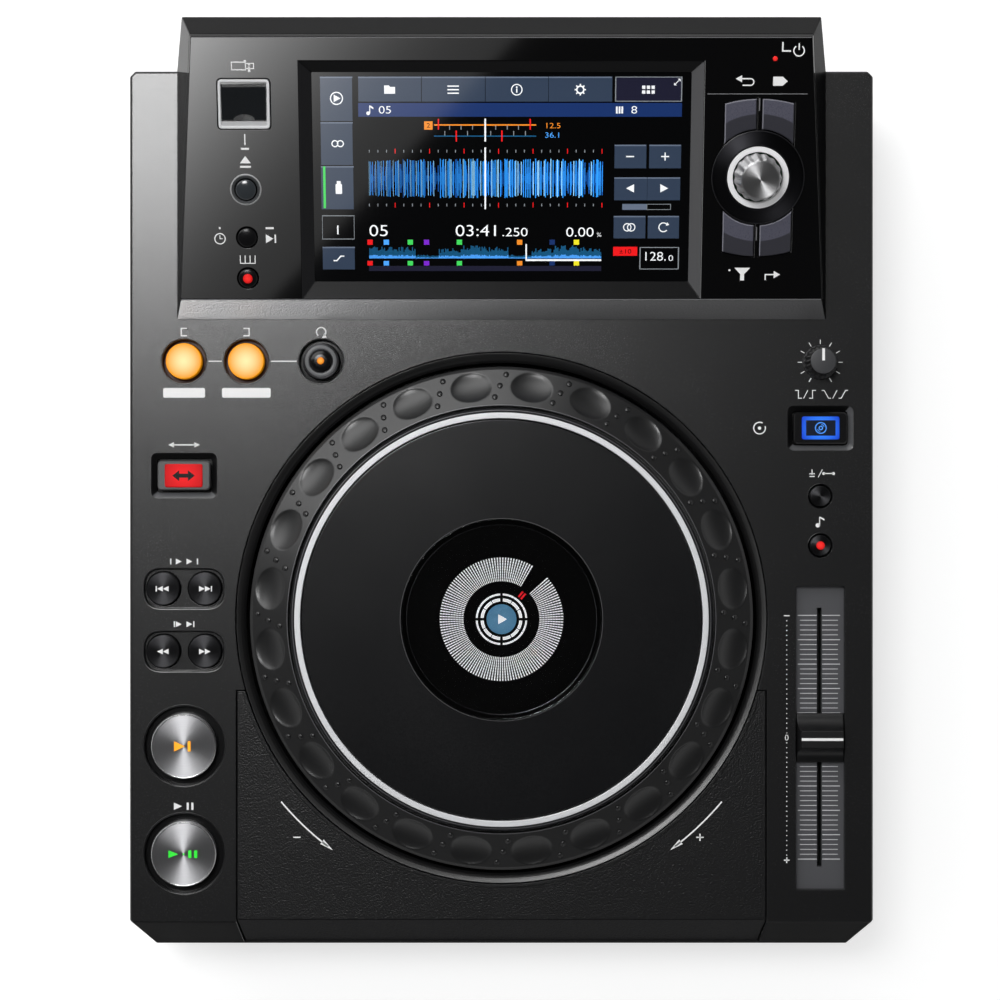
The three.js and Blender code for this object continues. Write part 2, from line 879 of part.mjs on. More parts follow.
function upperCase() {
  const rails = box(
    [-seamX - ledgeReach, frontY - overrun, lipZ - overrun],
    [seamX + ledgeReach, panelRearY + ledgeReach, deckZ + overrun],
  );
  const ledgeInset = deckThickness + gap + ledgeThickness;
  const shell = upperForm(0).subtract(upperForm(deckThickness));
  const thick = upperForm(0).subtract(upperForm(ledgeInset)).intersect(rails);
  const pocket = panelZone(gap).subtract(upperForm(deckThickness + gap));
  const jogHole = rod(0, jogY, jogHoleRadius, deckUnder, deckZ + overrun, jogSteps);
  const ledgeHole = rod(0, jogY, wellFlangeRadius + gap, lipZ, deckUnder, jogSteps);
  const holes = roundButtons.map(({ x, y, hole }) =>
    rod(x, y, hole, deckUnder - overrun, deckZ + overrun),
  );
  for (const { x, y } of dishButtons) {
    holes.push(rod(x, y, dishHoleRadius, deckUnder - overrun, deckZ + overrun));
  }
  for (const { y } of dishes) {
    const dish = roundedRectangle(dishLength, dishWidth, dishWidth / 2 - gap);
    holes.push(moved(upright(dish, deckZ - dishDepth, deckZ + overrun, stemSteps), leftX, y, 0));
  }
  for (const { x, y } of plateButtons) {
    const hole = roundedRectangle(leverHoleWidth, leverHoleHeight, leverCornerRadius);
    holes.push(moved(upright(hole, deckUnder - overrun, deckZ + overrun), x, y, 0));
  }
  holes.push(rod(rightX, speedY, speedShaftRadius + gap, deckUnder - overrun, deckZ + overrun));
  const mouth = roundedRectangle(faderTroughWidth, faderTroughLength, gap);
  const trough = upright(mouth, deckUnder - overrun, deckZ + overrun);
  holes.push(moved(trough, rightX, faderY, 0));
  const podWindow = podWindowBox(deckUnder - overrun, deckZ + overrun);
  const posts = [...leftPosts, ...rightPosts].map(([x, y]) =>
    rod(x, y, postRadius, deckBoardZ, deckUnder + overrun, stemSteps),
  );
  const cover = cut(joined(shell, thick), pocket, jogHole, ledgeHole, podWindow, ...holes);
  return joined(cover, ...posts);
}

function frontPanel() {
  const skin = upperForm(0, panelSetback).subtract(upperForm(deckThickness));
  const hole = rod(0, jogY, jogHoleRadius, lipZ, deckZ + overrun, jogSteps);
  return skin.intersect(panelZone(0)).subtract(hole);
}

function foot() {
  const profile = [
    [0, 0],
    [footRadius - footTaper, 0],
    [footRadius, footHeight],
    [0, footHeight],
  ];
  return turned(profile, knobSteps);
}

// The jog well and what turns in it. These stand at the jog wheel's centre.

function jogWell() {
  const bore = bossRadius - bossWall;
  const outside = throatRadius + wellWall;
  const flangeLow = deckUnder - wellFlangeThickness;
  const profile = [
    [bore, wellFloorZ - wellFloor],
    [outside, wellFloorZ - wellFloor],
    [outside, flangeLow],
    [wellFlangeRadius, flangeLow],
    [wellFlangeRadius, deckUnder],
    [wellOuter, deckUnder],
    [wellOuter, deckZ - gap],
    [throatRadius, deckZ - mouthDepth],
    [throatRadius, wellFloorZ],
    [bossRadius, wellFloorZ],
    [bossRadius, bossTop],
    [bore, bossTop],
  ];
  const pinTop = gearZ + pinionThickness;
  const pin = rod(pinionX, 0, pinRadius, wellFloorZ - wellFloor, pinTop, knobSteps);
  return joined(turned(profile, jogSteps), pin);
}

function jogBearing() {
  const low = wellFloorZ + gap;
  const profile = [
    [bossRadius + gap, low],
    [bearingRadius, low],
    [bearingRadius, low + bearingLength],
    [bossRadius + gap, low + bearingLength],
  ];
  return turned(profile, hubSteps);
}

function jogDisplay() {
  return rod(0, 0, bossRadius - displayInset, bossTop, bossTop + displayThickness, hubSteps);
}

// A gear's outline: straight-sided teeth, with the first one on +X or half a pitch on.
function gearShape(teeth, onTooth) {
  const pitchRadius = (gearModule * teeth) / 2;
  const step = (Math.PI + Math.PI) / teeth;
  const root = pitchRadius - dedendumShare * gearModule;
  const tip = pitchRadius + addendumShare * gearModule;
  const corners = [
    [root, -toothRootShare],
    [tip, -toothTipShare],
    [tip, toothTipShare],
    [root, toothRootShare],
  ];
  const points = [];
  for (let tooth = 0; tooth < teeth; tooth++) {
    const middle = (tooth + (onTooth ? 0 : 1 / 2)) * step;
    for (const [radius, share] of corners) {
      const angle = middle + share * step;
      points.push([radius * Math.cos(angle), radius * Math.sin(angle)]);
    }
  }
  return shapeOf(points);
}

function jogGear() {
  const low = wellFloorZ + gap + gap;
  const tube = turned(
    [
      [hubInner, low],
      [hubOuter, low],
      [hubOuter, webUnder - hubFlangeThickness],
      [hubOuter + hubFlangeReach, webUnder - hubFlangeThickness],
      [hubOuter + hubFlangeReach, webUnder],
      [hubInner, webUnder],
    ],
    hubSteps,
  );
  const bore = (hubInner + hubOuter) / 2;
  const wheel = upright(gearShape(gearTeeth, false), gearZ, gearZ + gearThickness);
  const middle = rod(0, 0, bore, gearZ - overrun, gearZ + gearThickness + overrun, hubSteps);
  return joined(tube, wheel.subtract(middle));
}

function encoderPinion() {
  const top = gearZ + pinionThickness;
  const low = gearZ - pinionDrop;
  const wheel = upright(gearShape(pinionTeeth, true), low, top - gap);
  return wheel.subtract(rod(0, 0, pinRadius + gap, low - overrun, top));
}

function jogRim() {
  const shoulderZ = deckZ + rimShoulderRise;
  const skirtZ = deckZ - rimSkirtDrop;
  const inner = rimRadius - rimWall;
  const profile = [
    [hubOuter + gap, webUnder],
    [inner - rimUnderRun, webUnder],
    [inner, webUnder - rimWall],
    [inner, skirtZ],
    [rimRadius, skirtZ],
    [rimRadius, shoulderZ - rimShoulderChamfer],
    [rimRadius - rimShoulderChamfer, shoulderZ],
    [rimInner, deckZ + rimTopRise],
    [rimInner, webTop],
    [hubOuter + gap, webTop],
  ];
  const run = rimWidth - rimShoulderChamfer;
  const slope = Math.atan2(rimTopRise - rimShoulderRise, run);
  const dimpleRadius = rimRadius - dimpleInset;
  const along = rimRadius - rimShoulderChamfer - dimpleRadius;
  const dimpleZ = shoulderZ + along * Math.tan(slope);
  const dimples = [];
  for (let i = 0; i < dimpleCount; i++) {
    const cutter = new THREE.SphereGeometry(1, dimpleSteps, dimpleRings);
    cutter.scale(dimpleHalfWidth, dimpleHalfLength, dimpleDepth);
    cutter.rotateY(slope);
    cutter.translate(dimpleRadius, 0, dimpleZ);
    cutter.rotateZ(((i + 1 / 2) * (Math.PI + Math.PI)) / dimpleCount);
    dimples.push(solid(cutter));
  }
  return cut(turned(profile, jogSteps), ...dimples);
}

function jogRing() {
  const profile = [
    [ringInner, webTop],
    [ringOuter, webTop],
    [ringOuter, jogTop - ringChamferDrop],
    [ringOuter - ringChamferRun, jogTop],
    [ringInner, jogTop],
  ];
  return turned(profile, jogSteps);
}

function jogPlatter() {
  const seatTop = jogTop - platterThickness;
  const bumperFoot = webTop + platterPress + gap;
  const slot = windowRadius + windowSlotClearance;
  const profile = [
    [windowRadius - windowSeat, seatTop - windowSeatThickness],
    [slot + windowSeat, seatTop - windowSeatThickness],
    [slot + windowSeat, seatTop],
    [platterBumperRadius - platterBumperWall, seatTop],
    [platterBumperRadius - platterBumperWall, bumperFoot],
    [platterBumperRadius, bumperFoot],
    [platterBumperRadius, seatTop],
    [platterRadius, seatTop],
    [platterRadius, jogTop],
    [slot, jogTop],
    [slot, seatTop],
    [windowRadius - windowSeat, seatTop],
  ];
  return turned(profile, jogSteps);
}

function jogWindow() {
  return rod(0, 0, windowRadius, jogTop - platterThickness, jogTop, jogSteps);
}

// A push button: a cap through a panel's hole, a flange that keeps it in, and a stem.
// Its middle is on the Z axis, with the panel's outside at z = 0.
function pushButton(cap, flange, panelThickness, boardDepth, stemX = 0, stemY = 0) {
  const flangeTop = -panelThickness - gap;
  const flangeLow = flangeTop - flangeThickness;
  const stemLow = -boardDepth + switchHeight + buttonTravel + gap;
  const plate = upright(flange, flangeLow, flangeTop, stemSteps);
  return joined(cap, plate, rod(stemX, stemY, stemRadius, stemLow, flangeTop, stemSteps));
}

function roundCap(radius, low, high, steps = buttonSteps) {
  const profile = [
    [0, low],
    [radius, low],
    [radius, high - capChamfer],
    [radius - capChamfer, high],
    [0, high],
  ];
  return turned(profile, steps);
}

function roundDeckButton({ hole, cap, rise }) {
  const top = roundCap(cap, -deckThickness - flangeThickness, rise);
  return pushButton(top, circle(hole + flangeReach), deckThickness, deckBoardDepth);
}

function dishButton() {
  const top = roundCap(dishButtonRadius, -deckThickness - flangeThickness, dishButtonRise);
  const flange = circle(dishHoleRadius + flangeReach);
  return pushButton(top, flange, deckThickness, deckBoardDepth);
}

function plateDeckButton({ width, height }) {
  const face = roundedRectangle(width, height, leverCornerRadius);
  const top = upright(face, -deckThickness - flangeThickness, leverRise);
  const flange = grownRectangle(leverHoleWidth, leverHoleHeight, leverCornerRadius, flangeReach);
  return pushButton(top, flange, deckThickness, deckBoardDepth);
}

// A board with a key switch under each of its buttons.
function switches(places, z) {
  return places.map(([x, y]) =>
    block(x, y, switchWidth, switchWidth, z - boardThickness / 2, z + switchHeight),
  );
}

function leftSwitchBoard() {
  const outerX = -caseHalf + deckThickness + columnBoardInset;
  const innerX = -wellFlangeRadius - columnBoardInset;
  const low = deckBoardZ - boardThickness;
  const column = box(
    [outerX, deckFrontY + boardFromFront, low],
    [innerX, podFrontY - boardFromPod, deckBoardZ],
  );
  const leg = box([outerX, loopY - legFront, low], [reloopX + legEnd, loopY + legRear, deckBoardZ]);
  const places = [...roundButtons, ...plateButtons, ...dishButtons]
    .filter(({ x }) => x < 0)
    .map(({ x, y }) => [x, y]);
  return joined(column, leg, ...switches(places, deckBoardZ));
}

function rightControlBoard() {
  const outerX = caseHalf - deckThickness - columnBoardInset;
  const innerX = wellFlangeRadius + columnBoardInset;
  const column = box(
    [innerX, deckFrontY + rightBoardFromFront, deckBoardZ - boardThickness],
    [outerX, podFrontY - boardFromPod, deckBoardZ],
  );
  const places = [...roundButtons, ...plateButtons]
    .filter(({ x }) => x > 0)
    .map(({ x, y }) => [x, y]);
  const low = deckBoardZ - boardThickness / 2;
  const trackLength = faderSlotLength + faderStemLength;
  const body = block(rightX, faderY, faderBodyWidth, trackLength, low, deckBoardZ + faderBodyHeight);
  const slotLow = deckUnder + gap - faderStemDrop - gap;
  const slot = block(
    rightX,
    faderY,
    faderSlotWidth,
    faderSlotLength,
    slotLow,
    deckBoardZ + faderBodyHeight + overrun,
  );
  const pot = rod(rightX, speedY, speedPotRadius, low, deckUnder - gap);
  const potBore = rod(rightX, speedY, speedShaftRadius + gap, deckBoardZ + gap, deckZ);
  const parts = joined(column, body, pot, ...switches(places, deckBoardZ));
  return cut(parts, slot, potBore);
}

function tempoScalePlate() {
  const lap = faderPlateLap + faderPlateLap;
  const low = deckUnder - faderPlateThickness;
  const sheet = block(0, 0, faderTroughWidth + lap, faderTroughLength + lap, low, deckUnder);
  const slot = block(0, 0, faderSlotWidth, faderSlotLength, low - overrun, deckUnder + overrun);
  return sheet.subtract(slot);
}

function faderCap() {
  const low = deckUnder + gap;
  const base = low + faderCapBase;
  const top = low + faderCapHeight;
  const half = faderCapLength / 2;
  const ridge = faderRidge / 2;
  const waist = ridge + (half - ridge) * faderWaistShare;
  const waistZ = base + (top - base) * faderWaistRiseShare;
  const outline = [
    [-half, low],
    [half, low],
    [half, base],
    [waist, waistZ],
    [ridge, top],
    [-ridge, top],
    [-waist, waistZ],
    [-half, base],
  ];
  const grip = sideways(outline, faderCapWidth / 2);
  const stem = block(0, 0, faderStemWidth, faderStemLength, low - faderStemDrop, base);
  return joined(grip, stem);
}

function speedKnob() {
  const low = deckZ + gap;
  const profile = [
    [0, deckBoardZ + gap + gap],
    [speedShaftRadius, deckBoardZ + gap + gap],
    [speedShaftRadius, low],
    [speedSkirtRadius, low],
    [speedSkirtRadius, low + speedSkirtHeight],
    [speedKnobRadius, low + speedSkirtHeight + capChamfer],
    [speedKnobRadius - capChamfer, low + speedKnobHeight],
    [0, low + speedKnobHeight],
  ];
  return turned(profile, knobSteps);
}

// The pod

// The pod's side outline, [y, z], from its foot over the face and the rear bevel.
const podOutline = [
  [rearY, deckZ],
  [podRearY, ridgeZ - rearBevelDrop],
  [ridgeY, ridgeZ],
  [faceY, faceZ],
  [podFrontY, deckZ],
];

function podForm(inset) {
  const lean = Math.tan(THREE.MathUtils.degToRad(podSideLean));
  const across = (z) => podFootHalf - (z - deckZ) * lean;
  const sides = [
    [-across(deckZ), deckZ],
    [across(deckZ), deckZ],
    [across(ridgeZ), ridgeZ],
    [-across(ridgeZ), ridgeZ],
  ];
  const body = sideways(drawnIn(podOutline, inset), caseHalf);
  const grown = overrun - inset;
  return body.intersect(lengthways(drawnIn(sides, inset), frontY, podRearY + grown));
}

function podWindowBox(low, high) {
  return box(
    [-podWindowHalf, podFrontY + podWindowFront, low],
    [podWindowHalf, rearY - podWindowRear, high],
  );
}

const faceFrame = new THREE.Matrix4()
  .makeRotationX(tilt)
  .setPosition(0, faceY, faceZ);
const toFace = faceFrame.clone().invert();

function placed(body, matrix) {
  return body.transform(matrix.elements);
}

// A slab of the pod between two depths under its face, wider than the pod.
function faceSlab(low, high) {
  const margin = podOverhang + podOverhang;
  return box([-caseHalf, -margin, low], [caseHalf, faceLength + margin, high]);
}

function displayHousing() {
  const above = placed(faceSlab(-faceThickness - gap, caseHalf), faceFrame);
  const floor = podWindowBox(deckZ - overrun, deckZ + podWall + overrun);
  return cut(podForm(0), podForm(podWall), above, floor);
}

// The four buttons round the selector. side is -1 left or 1 right, end is -1 front or 1 rear.
const segmentButtons = [
  { name: "back_button", side: -1, end: 1 },
  { name: "tag_button", side: 1, end: 1 },
  { name: "filter_button", side: -1, end: -1 },
  { name: "shortcut_button", side: 1, end: -1 },
];

// One segment's outline about the selector's centre, grown on every side.
function segmentShape({ side, end }, grow) {
  const inner = segmentInner - grow;
  const outer = segmentOuter + grow;
  const crown = end > 0 ? segmentTop : segmentBottom;
  const arcMiddle = crown - segmentOuter;
  const near = segmentDivider / 2 - grow;
  const far = segmentDivider / 2 + segmentWidth + grow;
  const points = [];
  for (let i = 0; i <= cornerSteps; i++) {
    const x = near + ((far - near) * i) / cornerSteps;
    points.push([x, Math.sqrt(inner * inner - x * x)]);
  }
  for (let i = cornerSteps; i >= 0; i--) {
    const x = near + ((far - near) * i) / cornerSteps;
    points.push([x, arcMiddle + Math.sqrt(outer * outer - x * x)]);
  }
  const turnedPoints = points.map(([x, y]) => [x * side, y * end]);
  return shapeOf(side * end > 0 ? turnedPoints : turnedPoints.reverse());
}

function segmentStem({ side, end }) {
  const crown = end > 0 ? segmentTop : segmentBottom;
  const x = (side * (segmentDivider + segmentWidth)) / 2;
  return [x, (end * (segmentInner + crown)) / 2];
}

function segmentButton(segment) {
  const cap = upright(segmentShape(segment, 0), -faceThickness - flangeThickness, segmentRise);
  const flange = segmentShape(segment, segmentClearance + segmentFlangeReach);
  const [x, y] = segmentStem(segment);
  return pushButton(cap, flange, faceThickness, faceBoardDepth, x, y);
}

const faceButtons = [
  { name: "stop_button", v: stopFromFront, cap: stopCapRadius, rise: stopRise, material: litRed },
  { name: "time_button", v: timeFromFront, cap: faceCapRadius, rise: faceCapRise,
    material: buttonGrey },
  { name: "quantize_button", v: quantizeFromFront, cap: faceCapRadius, rise: faceCapRise,
    material: litRed },
];

function faceButton({ cap, rise }) {
  const top = roundCap(cap, -faceThickness - flangeThickness, rise);
  const flange = circle(cap + faceHoleClearance + flangeReach);
  return pushButton(top, flange, faceThickness, faceBoardDepth);
}

const recessFarV = recessFront + recessLength;
const glassHalf = recessHalfWidth - glassInsetSide;
const glassNearV = recessFront + glassInsetFront;
const glassFarV = recessFarV - glassInsetRear;

// An outline of the face between two lines across it.
function across(half, near, far) {
  return [
    [-half, near],
    [half, near],
    [half, far],
    [-half, far],
  ];
}

// The recess narrows from the face to the glass, and the cut runs on at both ends.
function recessCutter() {
  const share = overrun / faceThickness;
  return lofted([
    {
      z: -faceThickness - overrun,
      outline: across(
        glassHalf - glassInsetSide * share,
        glassNearV + glassInsetFront * share,
        glassFarV - glassInsetRear * share,
      ),
    },
    {
      z: overrun,
      outline: across(
        recessHalfWidth + glassInsetSide * share,
        recessFront - glassInsetFront * share,
        recessFarV + glassInsetRear * share,
      ),
    },
  ]);
}

function displayFace() {
  const plate = placed(podForm(0), toFace).intersect(faceSlab(-faceThickness, 0));
  const low = -faceThickness - overrun;
  const holes = faceButtons.map(({ v, cap }) =>
    rod(leftU, v, cap + faceHoleClearance, low, overrun),
  );
  for (const segment of segmentButtons) {
    const hole = upright(segmentShape(segment, segmentClearance), low, overrun);
    holes.push(moved(hole, rightU, selectorFromFront, 0));
  }
  const collar = bezelBore + bezelCollarWall + gap;
  holes.push(rod(rightU, selectorFromFront, collar, low, overrun, knobSteps));
  const mouth = grownRectangle(dataFrameWidth, dataFrameHeight, dataFrameRadius, gap);
  holes.push(moved(upright(mouth, low, overrun), leftU, dataFromFront, 0));
  return cut(plate, recessCutter(), ...holes);
}

function glassBlock(thickness, top) {
  const width = glassHalf + glassHalf + glassLap + glassLap;
  const depth = glassFarV - glassNearV + glassLap + glassLap;
  return block(0, (glassNearV + glassFarV) / 2, width, depth, top - thickness, top);
}

const glassTop = -faceThickness - gap;
const lcdTop = glassTop - glassThickness - gap;
const displayBoardTop = lcdTop - lcdThickness - gap;

function displayBoard() {
  const half = podWindowHalf - displayBoardEdge;
  const low = displayBoardTop - boardThickness;
  const sheet = box(
    [-half, displayBoardFront, low],
    [half, faceLength - displayBoardRear, displayBoardTop],
  );
  const notch = box(
    [
      -half - overrun,
      dataFromFront - dataFrameHeight / 2 - boardNotchMargin,
      low - overrun,
    ],
    [
      leftU + dataFrameWidth / 2 + boardNotchMargin,
      faceLength,
      displayBoardTop + overrun,
    ],
  );
  const places = faceButtons.map(({ v }) => [leftU, v]);
  for (const segment of segmentButtons) {
    const [x, y] = segmentStem(segment);
    places.push([rightU + x, selectorFromFront + y]);
  }
  const bodyTop = displayBoardTop + selectorBodyHeight;
  const encoder = rod(rightU, selectorFromFront, selectorBodyRadius, low, bodyTop);
  const bore = rod(rightU, selectorFromFront, selectorShaftRadius + gap, low + gap, overrun);
  const parts = joined(sheet.subtract(notch), encoder, ...switches(places, displayBoardTop));
  return parts.subtract(bore);
}

// The data socket under its cover. These stand at the frame's centre.

const coverTop = dataFrameRise - coverDrop;
const coverAxisY = coverShift + coverHeight / 2 - coverBarrelRadius;
const coverAxisZ = coverTop - coverBarrelRadius;
const coverWellZ = dataFrameRise - coverWellDepth;

function alongX(y, z, radius, half, steps) {
  const geometry = new THREE.CylinderGeometry(radius, radius, half + half, steps);
  geometry.rotateZ(Math.PI / 2);
  geometry.translate(0, y, z);
  return solid(geometry);
}

function dataLightFrame() {
  const outside = roundedRectangle(dataFrameWidth, dataFrameHeight, dataFrameRadius);
  const body = upright(outside, -dataFrameDepth, dataFrameRise);
  const well = block(
    0,
    coverShift,
    coverWidth + gap + gap,
    coverHeight + gap + gap,
    coverWellZ,
    dataFrameRise + overrun,
  );
  const shell = dataShell + gap;
  const socket = block(
    0,
    coverShift,
    dataSlotWidth + shell + shell,
    dataSlotHeight + shell + shell,
    -dataFrameDepth - overrun,
    coverWellZ + overrun,
  );
  const pinHalf = coverWidth / 2 + coverPinLength + gap;
  const pinHole = alongX(coverAxisY, coverAxisZ, coverPinRadius + gap, pinHalf, knobSteps);
  return cut(body, well, socket, pinHole);
}

function dataSocket() {
  const top = coverWellZ;
  const width = dataSlotWidth + dataShell + dataShell;
  const height = dataSlotHeight + dataShell + dataShell;
  const body = block(0, coverShift, width, height, top - dataSocketDepth, top);
  const mouthLow = top - dataMouthDepth;
  const mouth = block(0, coverShift, dataSlotWidth, dataSlotHeight, mouthLow, top + overrun);
  return body.subtract(mouth);
}

// The cover's own middle is its hinge axis.
function dataCover() {
  const front = coverShift - coverHeight / 2 - coverAxisY;
  const high = coverBarrelRadius;
  const flap = box([-coverWidth / 2, front, high - coverThickness], [coverWidth / 2, 0, high]);
  const barrel = alongX(0, 0, coverBarrelRadius, coverWidth / 2, knobSteps);
  const pin = alongX(0, 0, coverPinRadius, coverWidth / 2 + coverPinLength, knobSteps);
  return joined(flap, barrel, pin);
}

// The selector. These stand at its centre on the face.

function selectorBezel() {
  const collar = bezelBore + bezelCollarWall;
  const crown = bezelRadius - bezelCrownInset;
  const profile = [
    [bezelBore, -bezelCollarDepth],
    [collar, -bezelCollarDepth],
    [collar, gap],
    [bezelRadius, gap],
    [bezelRadius, gap + bezelEdge],
    [crown, bezelCrownRise],
    [lightRingRadius + capChamfer, bezelDipRise],
    [lightRingRadius, bezelDipRise],
    [lightRingRadius, lightRingRise],
    [bezelBore, lightRingRise],
  ];
  return turned(profile, hubSteps);
}

const shaftTop = knobHeight - knobCrown - buttonTravel - gap - gap;

function selectorShaft() {
  const low = displayBoardTop - boardThickness + gap + gap;
  return rod(0, 0, selectorShaftRadius, low, shaftTop, knobSteps);
}

function selectorKnob() {
  const outline = (radius) => {
    const count = knobScallops * scallopSteps;
    const points = [];
    for (let i = 0; i < count; i++) {
      const angle = (i * (Math.PI + Math.PI)) / count;
      const dip = (knobScallopDepth * (1 - Math.cos(angle * knobScallops))) / 2;
      points.push([(radius - dip) * Math.cos(angle), (radius - dip) * Math.sin(angle)]);
    }
    return points;
  };
  const plain = (radius) =>
    outline(radius).map(([x, y]) => {
      const length = Math.hypot(x, y);
      return [(x * radius) / length, (y * radius) / length];
    });
  const body = lofted([
    { z: -knobSink, outline: outline(knobRadius) },
    { z: knobHeight - knobCrown, outline: outline(knobTopRadius + knobScallopDepth) },
    { z: knobHeight, outline: plain(knobTopRadius - knobScallopDepth) },
  ]);
  const boreTop = shaftTop + buttonTravel + gap;
  return body.subtract(
    rod(0, 0, selectorShaftRadius + gap, -knobSink - overrun, boreTop, knobSteps),
  );
}

// Boards, power supply and sockets in the lower case

function mainBoard() {
  const sheet = block(
    mainBoardX,
    mainBoardY,
    mainBoardWidth,
    mainBoardDepth,
    mainBoardZ,
    mainBoardTop,
  );
  const chip = block(
    mainBoardX,
    mainBoardY,
    chipWidth,
    chipWidth,
    mainBoardZ,
    mainBoardTop + chipHeight,
  );
  return joined(sheet, chip);
}

function powerSupply() {
  const rear = rearY - supplyFromRear;
  return box(
    [supplyX, rear - supplyDepth, plateTop],
    [supplyX + supplyWidth, rear, plateTop + supplyHeight],
  );
}

function acInlet() {
  const face = rearY + rearProud;
  const half = inletWidth / 2;
  const tall = inletHeight / 2;
  const body = box(
    [-half, face - inletDepth, socketZ - tall],
    [half, face, socketZ + tall],
  );
  const cavity = box(
    [-half + inletWall, face - inletCavityDepth, socketZ - tall + inletWall],
    [half - inletWall, face + overrun, socketZ + tall - inletWall],
  );
  const pins = [-1, 0, 1].map((place) =>
    box(
      [
        place * inletPinPitch - inletPinThickness / 2,
        face - inletCavityDepth - inletWall,
        socketZ - inletPinWidth / 2,
      ],
      [
        place * inletPinPitch + inletPinThickness / 2,
        face - inletPinSink,
        socketZ + inletPinWidth / 2,
      ],
    ),
  );
  return moved(joined(body.subtract(cavity), ...pins), inletX, 0, 0);
}

// A port that stands on the main board, with a cavity open to the rear.
function boardPort(x, width, height, depth, cavityWidth, cavityHeight) {
  const face = rearY + rearProud;
  const middle = mainBoardTop + height / 2;
  const body = box(
    [x - width / 2, face - depth, mainBoardTop],
    [x + width / 2, face, mainBoardTop + height],
  );
  const cavity = box(
    [x - cavityWidth / 2, face - portCavityDepth, middle - cavityHeight / 2],
    [x + cavityWidth / 2, face + overrun, middle + cavityHeight / 2],
  );
  return body.subtract(cavity);
}

function audioJacks() {
  const near = rearY - lowerWall - gap - audioBlockDepth;
  const inside = rearY - lowerWall - gap;
  const body = box(
    [audioX - audioBlockWidth / 2, near, mainBoardTop],
    [audioX + audioBlockWidth / 2, inside, mainBoardTop + audioBlockHeight],
  );
  const tip = inside + jackLength;
  const barrels = jackPlaces.map((x) => alongY(x, audioZ, jackRadius, near + gap, tip));
  const bores = jackPlaces.map((x) =>
    alongY(x, audioZ, jackBore, inside, tip + overrun, stemSteps),
  );
  return cut(joined(body, ...barrels), ...bores);
}

function powerButton() {
  const tip = rearY + powerProud + powerTravel;
  const inside = rearY - lowerWall - gap;
  const cap = alongY(powerX, socketZ, powerRadius, tip - powerLength, tip);
  const flange = alongY(
    powerX,
    socketZ,
    powerRadius + powerFlangeReach,
    inside - flangeThickness,
    inside,
  );
  return joined(cap, flange);
}

// The assembly

const player = new THREE.Group();
player.name = "dj_multi_player";

const jog = new THREE.Group();
jog.position.set(0, jogY, 0);
player.add(jog);

const face = new THREE.Group();
face.position.set(0, faceY, faceZ);
face.rotation.x = tilt;
player.add(face);

function add(group, name, body, material, x = 0, y = 0, z = 0) {
  const mesh = new THREE.Mesh(geometryOf(body), material);
  mesh.name = name;
  mesh.position.set(x, y, z);
  group.add(mesh);
  return mesh;
}

add(player, "bottom_plate", bottomPlate(), sheetSteel);
add(player, "lower_case", lowerCase(), satinBlack);
add(player, "upper_case", upperCase(), satinBlack);
add(player, "front_panel", frontPanel(), grainedBlack);

const footX = caseHalf - footFromSide;
const feet = [
  { name: "foot_front_left", x: -footX, y: frontY + footFromFront },
  { name: "foot_front_right", x: footX, y: frontY + footFromFront },
  { name: "foot_rear_left", x: -footX, y: rearY - footFromRear },
  { name: "foot_rear_right", x: footX, y: rearY - footFromRear },
];
for (const { name, x, y } of feet) {
  add(player, name, foot(), rubberBlack, x, y);
}

add(jog, "jog_well", jogWell(), satinBlack);
add(jog, "jog_bearing", jogBearing(), bearingPlastic);
add(jog, "jog_display", jogDisplay(), darkGlass);
add(jog, "jog_gear", jogGear(), bearingPlastic);
add(jog, "encoder_pinion", encoderPinion(), bearingPlastic, pinionX);
add(jog, "jog_rim", jogRim(), rimGrey);
add(jog, "jog_ring", jogRing(), silver);
add(jog, "jog_platter", jogPlatter(), glossBlack);
add(jog, "jog_window", jogWindow(), darkGlass);

for (const button of roundButtons) {
  add(player, button.name, roundDeckButton(button), button.material, button.x, button.y, deckZ);
}
for (const button of dishButtons) {
  add(player, button.name, dishButton(), buttonGrey, button.x, button.y, deckZ);
}
for (const button of plateButtons) {
  add(player, button.name, plateDeckButton(button), button.material, button.x, button.y, deckZ);
}
add(player, "speed_knob", speedKnob(), rubberBlack, rightX, speedY);
add(player, "tempo_scale_plate", tempoScalePlate(), scaleGrey, rightX, faderY);
add(player, "fader_cap", faderCap(), satinBlack, rightX, faderY);
add(player, "left_switch_board", leftSwitchBoard(), boardGreen);
add(player, "right_control_board", rightControlBoard(), boardGreen);

add(player, "display_housing", displayHousing(), satinBlack);
add(face, "display_face", displayFace(), glossBlack);
add(face, "touch_glass", glassBlock(glassThickness, glassTop), darkGlass);
add(face, "lcd_module", glassBlock(lcdThickness, lcdTop), sheetSteel);
add(face, "display_board", displayBoard(), boardGreen);
for (const button of faceButtons) {
  add(face, button.name, faceButton(button), button.material, leftU, button.v);
}
add(face, "data_light_frame", dataLightFrame(), frostedWhite, leftU, dataFromFront);
add(face, "data_socket", dataSocket(), sheetSteel, leftU, dataFromFront);
const hingeY = dataFromFront + coverAxisY;
add(face, "data_cover", dataCover(), satinBlack, leftU, hingeY, coverAxisZ);
add(face, "selector_bezel", selectorBezel(), glossBlack, rightU, selectorFromFront);
add(face, "selector_shaft", selectorShaft(), sheetSteel, rightU, selectorFromFront);
add(face, "selector_knob", selectorKnob(), spunMetal, rightU, selectorFromFront);
for (const segment of segmentButtons) {
  add(face, segment.name, segmentButton(segment), buttonGrey, rightU, selectorFromFront);
}

